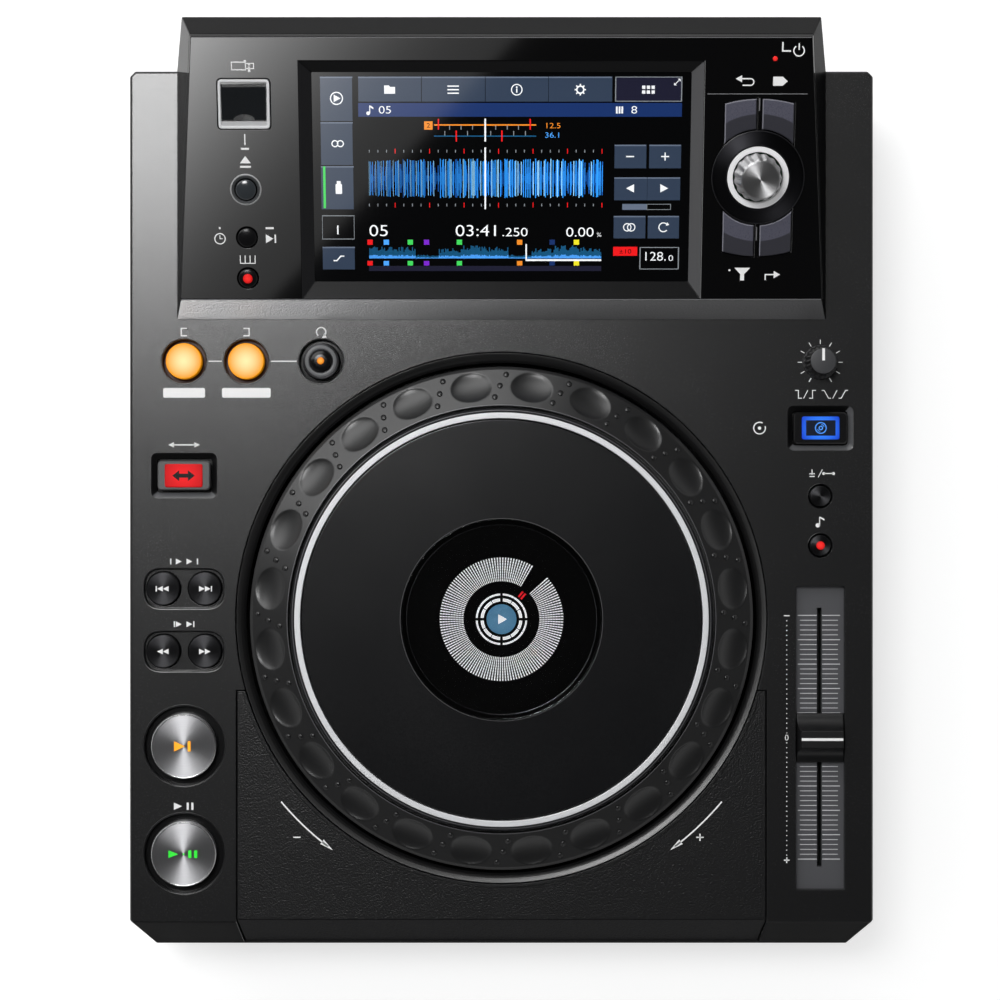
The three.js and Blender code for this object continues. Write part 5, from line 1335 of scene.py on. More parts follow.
def face_level(w):
    near, far = 0.3, FACE_LENGTH - 0.828 * w / SKIN
    corners = []
    for v in (near, far):
        z = FACE_Z + v * math.sin(TILT) + w * math.cos(TILT)
        corners.append((pod_half(z), v))
    (a, low), (b, high) = corners
    return [(-a, low), (a, low), (b, high), (-b, high)]


def segment_outline(side, end, grow=0.0):
    inner, outer = SEGMENT_INNER - grow, 50 + grow
    crown = SEGMENT_CROWN[end]
    near, far = 1.2 - grow, 13.8 + grow
    xs = [near + (far - near) * i / 14 for i in range(15)]
    low = [(x, math.sqrt(inner * inner - x * x)) for x in xs]
    high = [(x, crown - 50 + math.sqrt(outer * outer - x * x)) for x in reversed(xs)]
    return [(x * side, y * end) for x, y in low + high]


def recess_level(w):
    share = (w + SKIN) / SKIN
    half = SCREEN_HALF + 5.1 * share
    near, far = 7.4 - 6.9 * share, SCREEN_TOP + 4.8 * share
    return [(-half, near), (half, near), (half, far), (-half, far)]


cuts = [loft_mesh("recess", [(w, recess_level(w)) for w in FACE_CUT])]
for v, cap, _ in FACE_KEYS.values():
    cuts.append(rod_mesh(cap + KEY_GAP, *FACE_CUT, LEFT_U, v))
for side, end in SEGMENTS.values():
    outline = moved_outline(segment_outline(side, end, KEY_GAP), RIGHT_U, SELECT_V)
    cuts.append(slab_mesh(outline, *FACE_CUT))
cuts.append(rod_mesh(11.5, *FACE_CUT, RIGHT_U, SELECT_V))
cuts.append(slab_mesh(box_outline(21.2, 20.1, 1.9, LEFT_U, SOCKET_V), *FACE_CUT))
face_plate = carved("pod_face", loft_mesh("face", [(w, face_level(w)) for w in (-SKIN, 0)]),
                    cuts, GLOSS, "case", ON_FACE)
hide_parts("display_face")
repaint(face_plate, RECESS_BLACK, lambda face: face.normal.z < 0.95
        and abs(face.center.x) / MM < 82)
# Painted light: the recess's left wall dim grey, its right wall facing the lamp pale.
repaint(face_plate, RECESS_GREY, lambda face: face.normal.x > 0.5
        and abs(face.center.x) / MM < 82)
repaint(face_plate, RECESS_PAINTED_LIGHT, lambda face: face.normal.x < -0.5
        and abs(face.center.x) / MM < 82)
print("face plate faces:", len(face_plate.data.polygons))

# %% [markdown]
# Three small keys sit in a column on the face. Stop is a blue-grey dome in a turned
# bezel, time is a black dome, and quantize has a red lamp in its middle.

# %% Face keys
STOP_DOME = moulded("stop_dome", (0.030, 0.035, 0.040), 0.16, bump=0.0,
                    Specular_IOR_Level=1.0)
for node, (v, cap, rise) in FACE_KEYS.items():
    material = STOP_DOME if node == "stop_button" else KEY_BLACK
    crown = 0.9 if node == "stop_button" else 0.7
    round_key(node, on_face(LEFT_U, v), cap, cap + KEY_GAP, rise, material,
              radius=0.9, depth=10.7, crown=crown)
BEZEL_GREY = spun("stop_ring", (0.10, 0.105, 0.11), 0.35, metallic=0.6)
BEZEL_RIM = moulded("stop_rim", (0.42, 0.425, 0.43), 0.3, bump=0.02)
turned("stop_bezel", [(4.55, -0.2), (6.0, -0.1), (5.95, 0.4), (5.6, 0.55), (4.9, 0.5),
                      (4.6, 0.3)], BEZEL_GREY, "case", on_face(LEFT_U, STOP_V), radius=0.1)
turned("stop_bezel_edge", [(5.7, 0.4), (6.2, 0.0), (6.35, 0.3), (5.9, 0.8)], BEZEL_RIM,
       "case", on_face(LEFT_U, STOP_V), radius=0.05)
turned("quantize_lamp", [(0, 1.0), (2.0, 1.0), (1.9, 1.5), (1.2, 1.75), (0, 1.8)], RED_LAMP,
       "quantize_button", on_face(LEFT_U, QUANTIZE_V), radius=0.2, steps=48)
turned("standby_lamp", [(0, -0.3), (1.0, -0.3), (0.95, 0.2), (0.5, 0.35), (0, 0.38)],
       RED_LAMP, "case", on_face(109.0, 96.9), radius=0.1, steps=36)
print("face keys:", len(FACE_KEYS))

# %% [markdown]
# A frosted frame lights up round the data socket, and a slate flap closes it. The flap
# turns on pins at its far edge. A crescent scooped out of its near edge takes a
# fingernail.

# %% Data socket
def egg_mesh(rx, ry, rz, x, y, z):
    half = [(math.sin(math.pi * i / 16), -math.cos(math.pi * i / 16)) for i in range(17)]
    half[0], half[-1] = (0, -1), (0, 1)
    mesh = turned_mesh("egg", half, 48)
    mesh.transform(Matrix.Translation((x * MM, y * MM, z * MM))
                   @ Matrix.Diagonal((rx, ry, rz, 1)))
    return mesh


frame_body = slab_mesh(box_outline(20.6, 19.5, 1.6), -6.5, 0.8)
frame_cuts = [slab_mesh(box_outline(18.6, 17.4, 0.8), 0.25, 2),
              slab_mesh(box_outline(18.3, 14.3, 0.1, y=0.55), -1.8, 2),
              slab_mesh(box_outline(14.7, 7.3, 0.1, y=0.55), -7, 0)]
light_frame = carved("data_frame_lit", frame_body, frame_cuts, FROSTED, "case",
                     on_face(LEFT_U, SOCKET_V), edge=0.2)
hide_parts("data_light_frame")
# Painted shade: the sunken step inside the frame is painted darker than its rim.
FROSTED_SHADE = moulded("frosted_step_painted_shade", (0.48, 0.485, 0.49), 0.35, bump=0.02)
repaint(light_frame, FROSTED_SHADE,
        lambda face: face.normal.z > 0.9 and 0.2 < face.center.z / MM < 0.3)
flap_body = slab_mesh(box_outline(17.7, 13.3, 0.4, y=-6.15), -0.5, 0.9)
flap = carved("data_flap", flap_body, [egg_mesh(4.5, 2.4, 1.1, 0, -12.8, 0.95)], SLATE,
              "cover", on_face(LEFT_U, 85.5, -0.3), edge=0.2)
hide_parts("data_cover")

# %% [markdown]
# The selector stands in a dark spun bezel with a ring of white light at its foot. The
# knob is chromed, with 15 scallops round the side and a cone-turned face that throws
# fans of light. Four keys, painted in two tones as painted light and shade, wrap round
# the bezel.

# %% Selector
bezel = turned("selector_bezel_ring", [(12.45, 0.3), (18.6, 0.3), (18.6, 0.7), (13.2, 2.0),
                                       (12.45, 1.4)],
               SPUN_DARK, "case", SELECT, radius=0.2, steps=192)
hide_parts("selector_bezel")
turned("selector_light_ring", [(10.2, -2.6), (11.2, -2.6), (11.2, 0.3), (12.4, 0.3),
                               (12.4, 1.35), (12.1, 1.5), (10.4, 1.5), (10.2, 1.3)],
       WHITE_LAMP, "case", SELECT, radius=0.12, steps=160)
turned("selector_bezel_edge", [(18.35, 0.75), (18.75, 0.7), (18.7, 0.95), (18.4, 1.1)],
       RING_SHADE, "case", SELECT, radius=0.05, steps=192)


def scallops(radius, z, angle):
    return 0.5 * (1 - math.cos(15 * angle)) / 2 if radius > 7.2 and z < 11 else 0


knob_side = [(0, 9.95), (3.3, 9.95), (3.3, -1.2), (9.7, -1.2), (9.5, 2), (8.4, 10.3),
             (7.6, 11.1), (7.2, 11.3), (0, 10.9)]
selector = turned("selector_knob_chrome", knob_side, KNOB_SPUN, "selector_cap", SELECT,
                  radius=0.25, steps=360, ripple=scallops)
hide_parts("selector_knob")
print("selector faces:", len(selector.data.polygons))

# %% [markdown]
# Four keys wrap round the selector. Each outline lies between two arcs, so the keys
# follow the bezel inside and the panel's corner outside. Their tops are painted in two
# tones of one violet grey, lighter on the far half as painted light and darker on the
# near half as painted shade, and the edges that face the lamp take a painted highlight.

# %% Keys round the selector
# Painted light and shade: two tones of one violet grey for the selector's keys.
KEY_PAINTED_LIGHT = moulded("segment_painted_light", (0.085, 0.085, 0.115), 0.28, bump=0.02)
KEY_SHADE = moulded("segment_dark", (0.036, 0.036, 0.046), 0.3, bump=0.02)
# Painted highlight for the key edges that face the lamp.
KEY_EDGE_HIGHLIGHT = moulded("segment_edge_painted_highlight", (0.24, 0.24, 0.28), 0.3, bump=0.02)
for node, (side, end) in SEGMENTS.items():
    outline = segment_outline(side, end)
    inset = segment_outline(side, end, -0.35)
    flange = segment_outline(side, end, 0.8)
    sections = [(FLANGE_LOW, flange), (FLANGE_HIGH, flange), (FLANGE_HIGH, outline),
                (0.85, outline), (1.2, inset)]
    points = [(x, y, z) for z, shape in sections for x, y in shape]
    count = len(outline)
    faces = walls(len(sections), count)
    half = count // 2
    crest = []
    for i in range(half):
        a, b = inset[i], inset[count - 1 - i]
        crest.append(((a[0] + b[0]) / 2, (a[1] + b[1]) / 2, 1.45))
    first = len(points)
    points += crest
    faces.append(list(range(count)))
    top = 4 * count
    for i in range(half - 1):
        faces.append([top + i, top + i + 1, first + i + 1, first + i])
        faces.append([first + i, first + i + 1, top + count - 2 - i, top + count - 1 - i])
    faces.append([top, first, top + count - 1])
    faces.append([top + half - 1, top + half, first + half - 1])
    key = shown(node + "_segment", to_mesh(node, points, faces), KEY_SHADE, node, SELECT,
                smooth=12)
    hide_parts(node)
    # Painted shade on the flange under the face.
    paint_gap_shade(key)
    # Painted light on each top's far half, painted highlight on its lit edges.
    repaint(key, KEY_PAINTED_LIGHT, lambda face: face.normal.z > 0.3 and face.normal.y > 0.004
            and face.center.z / MM > 0.8)
    repaint(key, KEY_EDGE_HIGHLIGHT, lambda face: 0.2 < face.normal.z < 0.9
            and (face.normal.y > 0.3 or face.normal.x < -0.5) and face.center.z / MM > 0.8)
    stem_y = end * (SEGMENT_INNER + SEGMENT_CROWN[end]) / 2
    stem = rod_mesh(STEM_RADIUS, -6.4, -5.2, side * 7.5, stem_y, steps=32)
    shown(node + "_stem", stem, KEY_SHADE, node, SELECT)
print("segments:", len(SEGMENTS))

# %% [markdown]
# The picture on the screen is built from flat lit shapes on the glass. They are placed
# on a grid of about a tenth of a millimetre, measured from the screen's upper left. Each
# colour of light is one material that darkens a little towards the screen's ends, as a
# backlight does.

# %% Screen colours
def screen_light(name, colour, strength=0.3):
    edge = tuple(value * 0.82 for value in colour)
    return lit_cap("screen_" + name, edge, colour, 120.0, strength, roughness=0.06, shine=0.8)


SCREEN_BLACK = moulded("screen_black", (0.0010, 0.0011, 0.0014), 0.05, bump=0.0,
                       unevenness=0.01)
UI_SLATE = screen_light("slate", (0.030, 0.046, 0.079))
UI_SLATE_LIT = screen_light("slate_edge", (0.12, 0.15, 0.21))
UI_NAVY = screen_light("navy", (0.012, 0.012, 0.028))
UI_BLUE = screen_light("title_blue", (0.009, 0.029, 0.125))
UI_WHITE = screen_light("white", (0.86, 0.88, 0.90))
UI_GREY = screen_light("grey", (0.22, 0.24, 0.26))
UI_ORANGE = screen_light("orange", (0.80, 0.24, 0.02))
UI_RED = screen_light("red", (0.80, 0.010, 0.012))
UI_GREEN = screen_light("green", (0.05, 0.62, 0.10))
UI_SKY = screen_light("sky", (0.07, 0.34, 0.90))
UI_WAVE = [screen_light("wave_deep", (0.008, 0.085, 0.36), 0.45),
           screen_light("wave_mid", (0.025, 0.28, 0.84), 0.45),
           screen_light("wave_pale", (0.30, 0.66, 1.0), 0.45)]
UI_TEAL = screen_light("overview", (0.008, 0.085, 0.19))
UI_PURPLE = screen_light("purple", (0.18, 0.02, 0.55))
UI_YELLOW = screen_light("yellow", (0.80, 0.72, 0.02))
SCREEN = on_face(0, SCREEN_MIDDLE, GLASS)
ROW_TOP, ROW_RUN, ROW_STEP = 123.2, 780.2, 0.10741
COLUMN_MIDDLE, COLUMN_HALF, COLUMN_NARROWS = 827.9, 710.2, 12.1


def spot(across, down):
    rows = down - ROW_TOP
    step = SCREEN_HALF / (COLUMN_HALF - COLUMN_NARROWS * rows / ROW_RUN)
    return ((across - COLUMN_MIDDLE) * step,
            SCREEN_TOP - rows * ROW_STEP - SCREEN_MIDDLE)


def pane(left, right, top, bottom):
    a, b = spot(left, top), spot(right, bottom)
    return [(a[0], b[1]), (b[0], b[1]), (b[0], a[1]), (a[0], a[1])]


def pane_frame(left, right, top, bottom, line=3):
    return [pane(left, right, top, top + line), pane(left, right, bottom - line, bottom),
            pane(left, left + line, top, bottom), pane(right - line, right, top, bottom)]


def layer_top(layer):
    return 0.02 + 0.02 * layer


def lit(name, shapes, material, layer=0):
    return marks("screen_" + name, shapes, material, "case", SCREEN, layer_top(layer))


def lit_number(name, text, across, down, size, material=UI_WHITE, stretch=1.25):
    x, y = spot(across, down)
    return numbers("screen_" + name, text, x, y, size, material, "case", SCREEN,
                   layer_top(2), stretch)


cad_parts["touch_glass"].data.materials.clear()
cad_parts["touch_glass"].data.materials.append(SCREEN_BLACK)
print("materials so far:", len(bpy.data.materials))

# %% [markdown]
# First the flat fields: tabs, the title bar and frames. A field is a rectangle of
# light, and a thin paler line along its upper edge makes it look like a raised key.

# %% Tabs and keys on the screen
tabs = [(148, 270, 138, 302), (150, 271, 306, 466), (151, 274, 470, 632),
        (291, 527, 138, 230), (529, 766, 138, 230), (768, 1003, 138, 230),
        (1005, 1242, 138, 230), (1252, 1370, 390, 478), (1382, 1500, 390, 478),
        (1251, 1373, 512, 598), (1375, 1497, 512, 598), (1249, 1367, 657, 742),
        (1377, 1493, 657, 742), (157, 278, 774, 860)]
lit("tabs", [pane(*tab) for tab in tabs], UI_SLATE)
lit("tab_edges", [pane(a, b, c, c + 5) for a, b, c, _ in tabs], UI_SLATE_LIT, 1)
lit("wide_tab", [pane(1254, 1504, 138, 230)], UI_NAVY)
lit("wide_tab_edge", pane_frame(1254, 1504, 138, 230), UI_GREY, 1)
lit("title_bar", [pane(291, 1503, 235, 286)], UI_BLUE)
lit("source_bar", [pane(159, 170, 471, 628)], UI_GREEN, 2)
lit("number_box", pane_frame(155, 277, 655, 746), UI_GREY)
lit_number("player_number", "1", 214, 712, 5.4)
lit("bpm_box", pane_frame(1346, 1493, 775, 860), UI_GREY)
lit_number("beats", "128.", 1402, 812, 5.2, stretch=1.1)
lit_number("beats_small", "0", 1463, 818, 3.4)
lit("range_box", [pane(1247, 1337, 774, 808)], UI_RED)
lit_number("range_number", "±10", 1292, 792, 2.6, SCREEN_BLACK)
lit("zoom_bar", [pane(1281, 1372, 612, 634)], UI_SLATE_LIT)
lit("zoom_frame", pane_frame(1372, 1463, 612, 634, 2), UI_GREY)
print("tabs:", len(tabs))

# %% [markdown]
# The real screen labels its keys with words. Here plain symbols take their place: a
# folder, a list, a gear, arrows. Each is a handful of bars, discs and arcs in ink a
# fraction of a millimetre thick.

# %% Icons on the screen
def at(across, down, shapes):
    x, y = spot(across, down)
    return [[(a + x, b + y) for a, b in shape] for shape in shapes]


folder = [[(-2.2, -1.6), (2.2, -1.6), (2.2, 1.1), (0.2, 1.1), (-0.3, 1.7), (-2.2, 1.7)]]
lines = [bar(0, 1.4, 4.6, 0.5), bar(0, 0, 4.6, 0.5), bar(0, -1.4, 4.6, 0.5)]
info = [*ink_ring(2.1, 0.4), bar(0, -0.35, 0.5, 1.7), disc_outline(0.35, 16, 0, 1.0)]
gear = [*ink_ring(1.4, 0.6)] + [
    [(r * math.cos(math.radians(a)), r * math.sin(math.radians(a)))
     for r, a in ((1.6, t - 9), (2.3, t - 7), (2.3, t + 7), (1.6, t + 9))]
    for t in range(0, 360, 45)]
grid_icon = [box_outline(1.3, 1.3, 0, i * 1.9, j * 1.9)
             for i in (-1, 0, 1) for j in (-0.5, 0.5)]
chain = ink_ring(1.2, 0.45, -1.1) + ink_ring(1.2, 0.45, 1.1)
stick = [box_outline(2.6, 4.0, 0.3, 0, -0.6), bar(0, 2.0, 1.6, 1.2)]
play_icon = [[(-1.1, -1.5), (1.6, 0), (-1.1, 1.5)]]
icons = at(409, 186, folder) + at(647, 186, lines) + at(885, 186, info) + at(1123, 186, gear)
icons += at(1378, 186, grid_icon) + at(210, 218, ink_ring(2.4, 0.45) + play_icon)
icons += at(214, 386, chain) + at(218, 550, stick)
icons += at(1310, 434, [bar(0, 0, 3.2, 0.5)])
icons += at(1441, 434, [bar(0, 0, 3.2, 0.5), bar(0, 0, 0.5, 3.2)])
icons += at(1310, 553, [[(1.6, -1.7), (1.6, 1.7), (-1.6, 0)]])
icons += at(1438, 553, [[(-1.6, -1.7), (1.6, 0), (-1.6, 1.7)]])
icons += at(1307, 700, ink_ring(1.5, 0.4, -0.8) + ink_ring(1.5, 0.4, 0.8))
icons += at(1435, 700, [ink_arc(1.8, 40, 320, 0.45), [(1.0, 0.6), (2.4, 1.0), (1.5, 2.1)]])
icons += at(218, 818, [stroke([(-2.2, -0.9), (-0.8, -0.9), (0.8, 0.9), (2.2, 0.9)], 0.5)])
icons += at(1486, 158, [stroke([(-1.1, -1.1), (1.1, 1.1)], 0.3),
                        [(1.3, 1.3), (0.2, 1.3), (1.3, 0.2)],
                        [(-1.3, -1.3), (-0.2, -1.3), (-1.3, -0.2)]])
note = [disc_outline(0.75, 20, -0.6, -1.3), bar(0.05, 0.2, 0.35, 3.2),
        [(0.2, 1.8), (1.5, 1.0), (1.5, 0.3), (0.2, 1.1)]]
icons += at(334, 261, note)
icons += at(1270, 261, [bar(-1.1, 0, 0.7, 2.8), bar(0, 0, 0.7, 2.8), bar(1.1, 0, 0.7, 2.8)])
lit("icons", icons, UI_WHITE, 2)
lit_number("title_number", "05", 392, 262, 4.3)
lit_number("key_number", "8", 1325, 262, 4.3)
print("icon shapes:", len(icons))

# %% [markdown]
# The sound picture is a row of upright bars in three blues. A fixed beat pattern gives
# it rhythm, and seeded chance breaks the pattern now and then, so every run draws the
# same picture.

# %% Waveforms
wave = [[], [], []]
WAVE_ROW, WAVE_REACH, OVERVIEW_ROW = 516, 74, 818
BEAT = (2, 1, 0, 1, None, 0, 2, None, 1, 0, None, 2, 0, 1, None, 0)


def upright(left, right, row, reach):
    return pane(left, right, row - reach, row + reach)


for i in range(214):
    across = 331 + i * 4.1
    tone = BEAT[(i * 5 + i // 16) % 16 if random.random() > 0.75 else i % 16]
    if tone is None:
        core = WAVE_REACH * random.uniform(0.1, 0.5)
        wave[0].append(upright(across + 0.6, across + 2.6, WAVE_ROW, core))
        continue
    reach = WAVE_REACH * (random.uniform(0.84, 1.0) if tone else random.uniform(0.5, 0.98))
    width = 2.2 if tone == 2 else 3.0
    wave[tone].append(upright(across, across + width, WAVE_ROW, reach))
    if tone == 0:
        core = reach * random.uniform(0.3, 0.8)
        wave[1].append(upright(across + 0.8, across + 2.4, WAVE_ROW, core))
for tone, shapes in enumerate(wave):
    lit(f"wave_{tone}", shapes, UI_WAVE[tone], tone)
overview, pale = [], []
for i in range(190):
    across = 332 + i * 4.58
    reach = (50, 44, 14, 38)[i // 19 % 4] * random.uniform(0.55, 1.0)
    overview.append(pane(across, across + 4.0, OVERVIEW_ROW - reach, OVERVIEW_ROW))
    pale.append(pane(across, across + 4.0, OVERVIEW_ROW - reach * 0.3, OVERVIEW_ROW))
lit("overview", overview, UI_TEAL)
lit("overview_base", pale, UI_SKY, 1)
white_ticks, red_ticks = [], []
for i in range(28):
    across = 333 + i * 32.3
    mine, tall = (red_ticks, 9) if i % 4 == 3 else (white_ticks, 5)
    mine.extend(upright(across - 2, across + 1, row, tall) for row in (414, 616))
lit("beat_ticks", white_ticks, UI_GREY, 1)
lit("bar_ticks", red_ticks, UI_RED, 1)
lit("playhead", [pane(764, 770, 400, 632), pane(764, 770, 293, 378),
                 pane(918, 923, 764, 826), pane(920, 1202, 821, 828)], UI_WHITE, 3)
lit("phase_upper", [pane(575, 958, 314, 319), pane(538, 570, 303, 334)], UI_ORANGE)
lit("phase_lower", [pane(575, 958, 356, 360)], UI_TEAL)
lit("phase_ticks", [pane(589, 594, 294, 334), pane(933, 938, 294, 334),
                    pane(656, 661, 337, 378), pane(827, 832, 337, 378)], UI_RED, 1)
small = [pane(x, x + 3, 318, 334) for x in (632, 675, 718, 805, 848, 890)]
small += [pane(x, x + 3, 339, 356) for x in (614, 699, 786, 872, 916)]
lit("phase_small", small, UI_GREY, 1)
lit_number("phase_box_number", "2", 554, 319, 2.6, SCREEN_BLACK)
lit_number("bars_upper", "12.5", 1020, 320, 3.1, UI_ORANGE)
lit_number("bars_lower", "36.1", 1020, 355, 3.1, UI_SKY)
lit_number("track_number", "05", 368, 715, 6.6)
lit_number("time_minutes", "03:41", 738, 715, 6.6)
lit_number("time_parts", ".250", 878, 720, 5.0)
lit_number("tempo_number", "0.00", 1122, 720, 5.4)
lit_number("percent", "%", 1194, 729, 2.4)
lit("bottom_bar", [pane(331, 1202, 847, 866)], UI_NAVY)
hot_cues = [(335, UI_RED), (396, UI_SKY), (486, UI_GREEN), (547, UI_PURPLE), (670, UI_GREEN),
            (896, UI_ORANGE), (1018, UI_BLUE), (1109, UI_YELLOW)]
for number, (across, colour) in enumerate(hot_cues):
    lit(f"hot_cue_{number}", [pane(across - 10, across + 10, 747, 766),
                              pane(across - 10, across + 10, 828, 845)], colour, 3)
print("wave bars:", sum(len(shapes) for shapes in wave))

# %% [markdown]
# The jog wheel's small display doesn't turn: it lies on the fixed boss, under the
# window. It shows a comb of fine strokes with one gap, two red ticks, two broken rings
# and a blue disc. Because it rides with the case, it stays put while the platter spins.

# %% Jog display
DISPLAY = on_deck(0, JOG_Y, high_corner("jog_display")[2])
COMB_TEETH, COMB_INNER = 138, 15.5


def swung(degrees, points):
    c, s = math.cos(math.radians(degrees)), math.sin(math.radians(degrees))
    return [(c * p - s * q, s * p + c * q) for p, q in points]


comb = []
for i in range(COMB_TEETH):
    angle = i * 360 / COMB_TEETH
    if 42.5 < angle < 57.7:
        continue
    for level in range(9):
        r = COMB_INNER + level * 1.09
        width = 0.165 * r / COMB_INNER
        comb.append(swung(angle, [(r, -width), (r + 0.96, -width * 1.05),
                                  (r + 0.96, width * 1.05), (r, width)]))
JOG_WHITE = lit_cap("jog_display_white", (0.80, 0.80, 0.80), (0.90, 0.90, 0.90), 30, 0.62)
JOG_RED = lit_cap("jog_display_red", (0.60, 0.006, 0.014), (0.66, 0.010, 0.018), 30, 0.5)
JOG_BLUE = lit_cap("jog_display_blue", (0.075, 0.21, 0.34), (0.11, 0.26, 0.40), 6.1, 0.4)
marks("jog_comb", comb, JOG_WHITE, "case", DISPLAY, top=0.05)
rings = []
for quarter in range(4):
    start = 90 * quarter
    for a, b in ((3, 29.3), (30.3, 59.5), (60.5, 87)):
        rings.append(ink_arc(10.1, start + a, start + b, 0.75, steps=12))
    for a, b in ((4, 27.5), (30, 58), (60.5, 86)):
        rings.append(ink_arc(7.9, start + a, start + b, 1.25, steps=12))
marks("jog_rings", rings, JOG_WHITE, "case", DISPLAY, top=0.05)
marks("jog_disc", [disc_outline(6.1, 72)], JOG_BLUE, "case", DISPLAY, top=0.05)
marks("jog_disc_icon", [[(-1.3, -2.0), (2.2, 0), (-1.3, 2.0)]], JOG_WHITE, "case", DISPLAY,
      top=0.07)
red = [swung(49.4, [(11.4, y - 0.4), (14.3, y - 0.4), (14.3, y + 0.4), (11.4, y + 0.4)])
       for y in (-0.65, 0.65)]
marks("jog_ticks", red, JOG_RED, "case", DISPLAY, top=0.05)
# Painted highlight: a faint grey ring where the window's edge catches the light.
marks("window_edge_line", ink_ring(41.15, 0.3, steps=96),
      moulded("window_edge_highlight_grey", (0.045, 0.045, 0.048), 0.4, bump=0.0), "platter",
      on_deck(0, JOG_Y, 86), base=-0.02)
print("comb strokes:", len(comb))

# %% [markdown]
# Now the printed marks on the deck. The key icons are white, except on the transport
# keys, where a lamp shines through: orange on cue and green on play.

# %% Icons on the keys
GREEN_LIGHT = lit_cap("play_green", (0.02, 0.55, 0.03), (0.05, 0.75, 0.06), 8, 0.5)
ORANGE_LIGHT = lit_cap("cue_orange", (0.90, 0.28, 0.01), (0.95, 0.40, 0.03), 8, 0.5)


def key_icon(node, shapes, material=WHITE_INK, lift=0.22):
    place = over(node, high_corner(node)[2] + lift)
    return marks(node + "_icon", shapes, material, node, place)


left = [(-0.1, 0), (2.3, 1.15), (2.3, -1.15)]
farther = [(-2.5, 0), (-0.1, 1.15), (-0.1, -1.15)]
back_pair = [farther, left]
forward_pair = [[(-x, y) for x, y in shape] for shape in back_pair]
stop_left = [bar(-2.8, 0, 0.5, 2.3)]
stop_right = [bar(2.8, 0, 0.5, 2.3)]
key_icon("track_back_button", back_pair + stop_left)
key_icon("track_forward_button", forward_pair + stop_right)
key_icon("search_back_button", back_pair)
key_icon("search_forward_button", forward_pair)
key_icon("play_button", [[(-6.2, -1.6), (-2.2, 0), (-6.2, 1.6)], bar(0, 0, 0.7, 0.7),
                         bar(2.6, 0, 1.3, 3.1), bar(5.0, 0, 1.3, 3.1)], GREEN_LIGHT, 0.3)
key_icon("cue_button", [[(-3.9, -2.1), (0.6, 0), (-3.9, 2.1)], bar(2.3, 0, 1.2, 4.2)],
         ORANGE_LIGHT, 0.3)

# %% [markdown]
# Marks on the left of the deck: the line that joins the loop keys, its brackets, two
# blank label plates, and symbols over the direction, track and play keys.

# %% Marks on the deck
loop_y = middle_of("loop_in_button")[1]
out_x = middle_of("loop_out_button")[0]
again_x = middle_of("reloop_button")[0]
deck = [bar(-117.8, loop_y, 5.4, 0.45), bar(-89.6, loop_y, 10.6, 0.45)]
bracket_y = loop_y + 12.0
for x, way in ((LEFT_X, 1.2), (out_x, -1.2)):
    deck.append(stroke([(x + way, bracket_y + 1.5), (x - way, bracket_y + 1.5),
                        (x - way, bracket_y - 1.5), (x + way, bracket_y - 1.5)], 0.5))
deck += [ink_arc(1.9, -50, 230, 0.5, again_x, bracket_y),
         [(again_x + 0.2, bracket_y - 2.6), (again_x + 2.2, bracket_y - 2.2),
          (again_x + 1.4, bracket_y - 0.4)]]
deck += [box_outline(17.2, 4.0, 0.8, LEFT_X, loop_y - 13.0),
         box_outline(20.0, 4.0, 0.8, out_x, loop_y - 13.0)]
x, y, _ = middle_of("direction_button")
deck += [stroke([(x - 5, y + 12.6), (x + 5, y + 12.6)], 0.5),
         [(x - 6.5, y + 12.6), (x - 4.2, y + 13.7), (x - 4.2, y + 11.5)],
         [(x + 6.5, y + 12.6), (x + 4.2, y + 13.7), (x + 4.2, y + 11.5)]]
for node, wide in (("track_back_button", 4.5), ("search_back_button", 3.0)):
    y = middle_of(node)[1] + 11.2
    deck += [[(LEFT_X - 1, y), (LEFT_X - 3.4, y + 1.2), (LEFT_X - 3.4, y - 1.2)][::-1],
             [(LEFT_X + 1, y - 1.2), (LEFT_X + 3.4, y), (LEFT_X + 1, y + 1.2)]]
    deck += [bar(LEFT_X - wide - 1, y, 0.5, 2.4), bar(LEFT_X + wide + 1, y, 0.5, 2.4)]
x, y, _ = middle_of("play_button")
deck += [[(x - 4.2, y + 18.0), (x - 0.8, y + 19.5), (x - 4.2, y + 21.0)],
         bar(x + 1.5, y + 19.5, 0.9, 3.0), bar(x + 3.4, y + 19.5, 0.9, 3.0)]
marks("deck_marks_left", deck, WHITE_INK, "case", on_deck(0, 0))
print("marks on the left:", len(deck))

# %% [markdown]
# Marks on the right: ticks round the speed knob, two curves for slow and quick, a disc
# by the mode key, and the fader's dotted scale.

# %% Marks on the right
right = []
for i in range(11):
    angle = math.radians(240 - 30 * i)
    ends = [(speed_x + r * math.cos(angle), speed_y + r * math.sin(angle)) for r in (7.5, 9.3)]
    right.append(stroke(ends, 0.42 if i in (0, 10) else 0.28))
base = speed_y - 13.2
for width, *points in (
        (0.35, (-10.4, 1.6), (-9.0, 1.6), (-9.0, -1.6), (-7.6, -1.6)),
        (0.3, (-6.9, -1.7), (-5.1, 1.7)),
        (0.35, (-4.6, -1.6), (-3.2, -1.6), (-3.2, 1.6), (-1.8, 1.6)),
        (0.35, (0.6, 1.6), (1.6, 1.6), (3.4, -1.6), (4.4, -1.6)),
        (0.3, (5.1, -1.7), (6.9, 1.7)),
        (0.35, (7.6, -1.6), (8.6, -1.6), (10.4, 1.6), (11.4, 1.6))):
    right.append(stroke(moved_outline(points, speed_x, base), width))
mode_x, mode_y, _ = middle_of("jog_mode_button")
right += [stroke(arc_points(2.4, 60, 380, mode_x - 25, mode_y), 0.45),
          disc_outline(0.7, 24, mode_x - 25, mode_y)]
range_x, range_y, _ = middle_of("tempo_range_button")
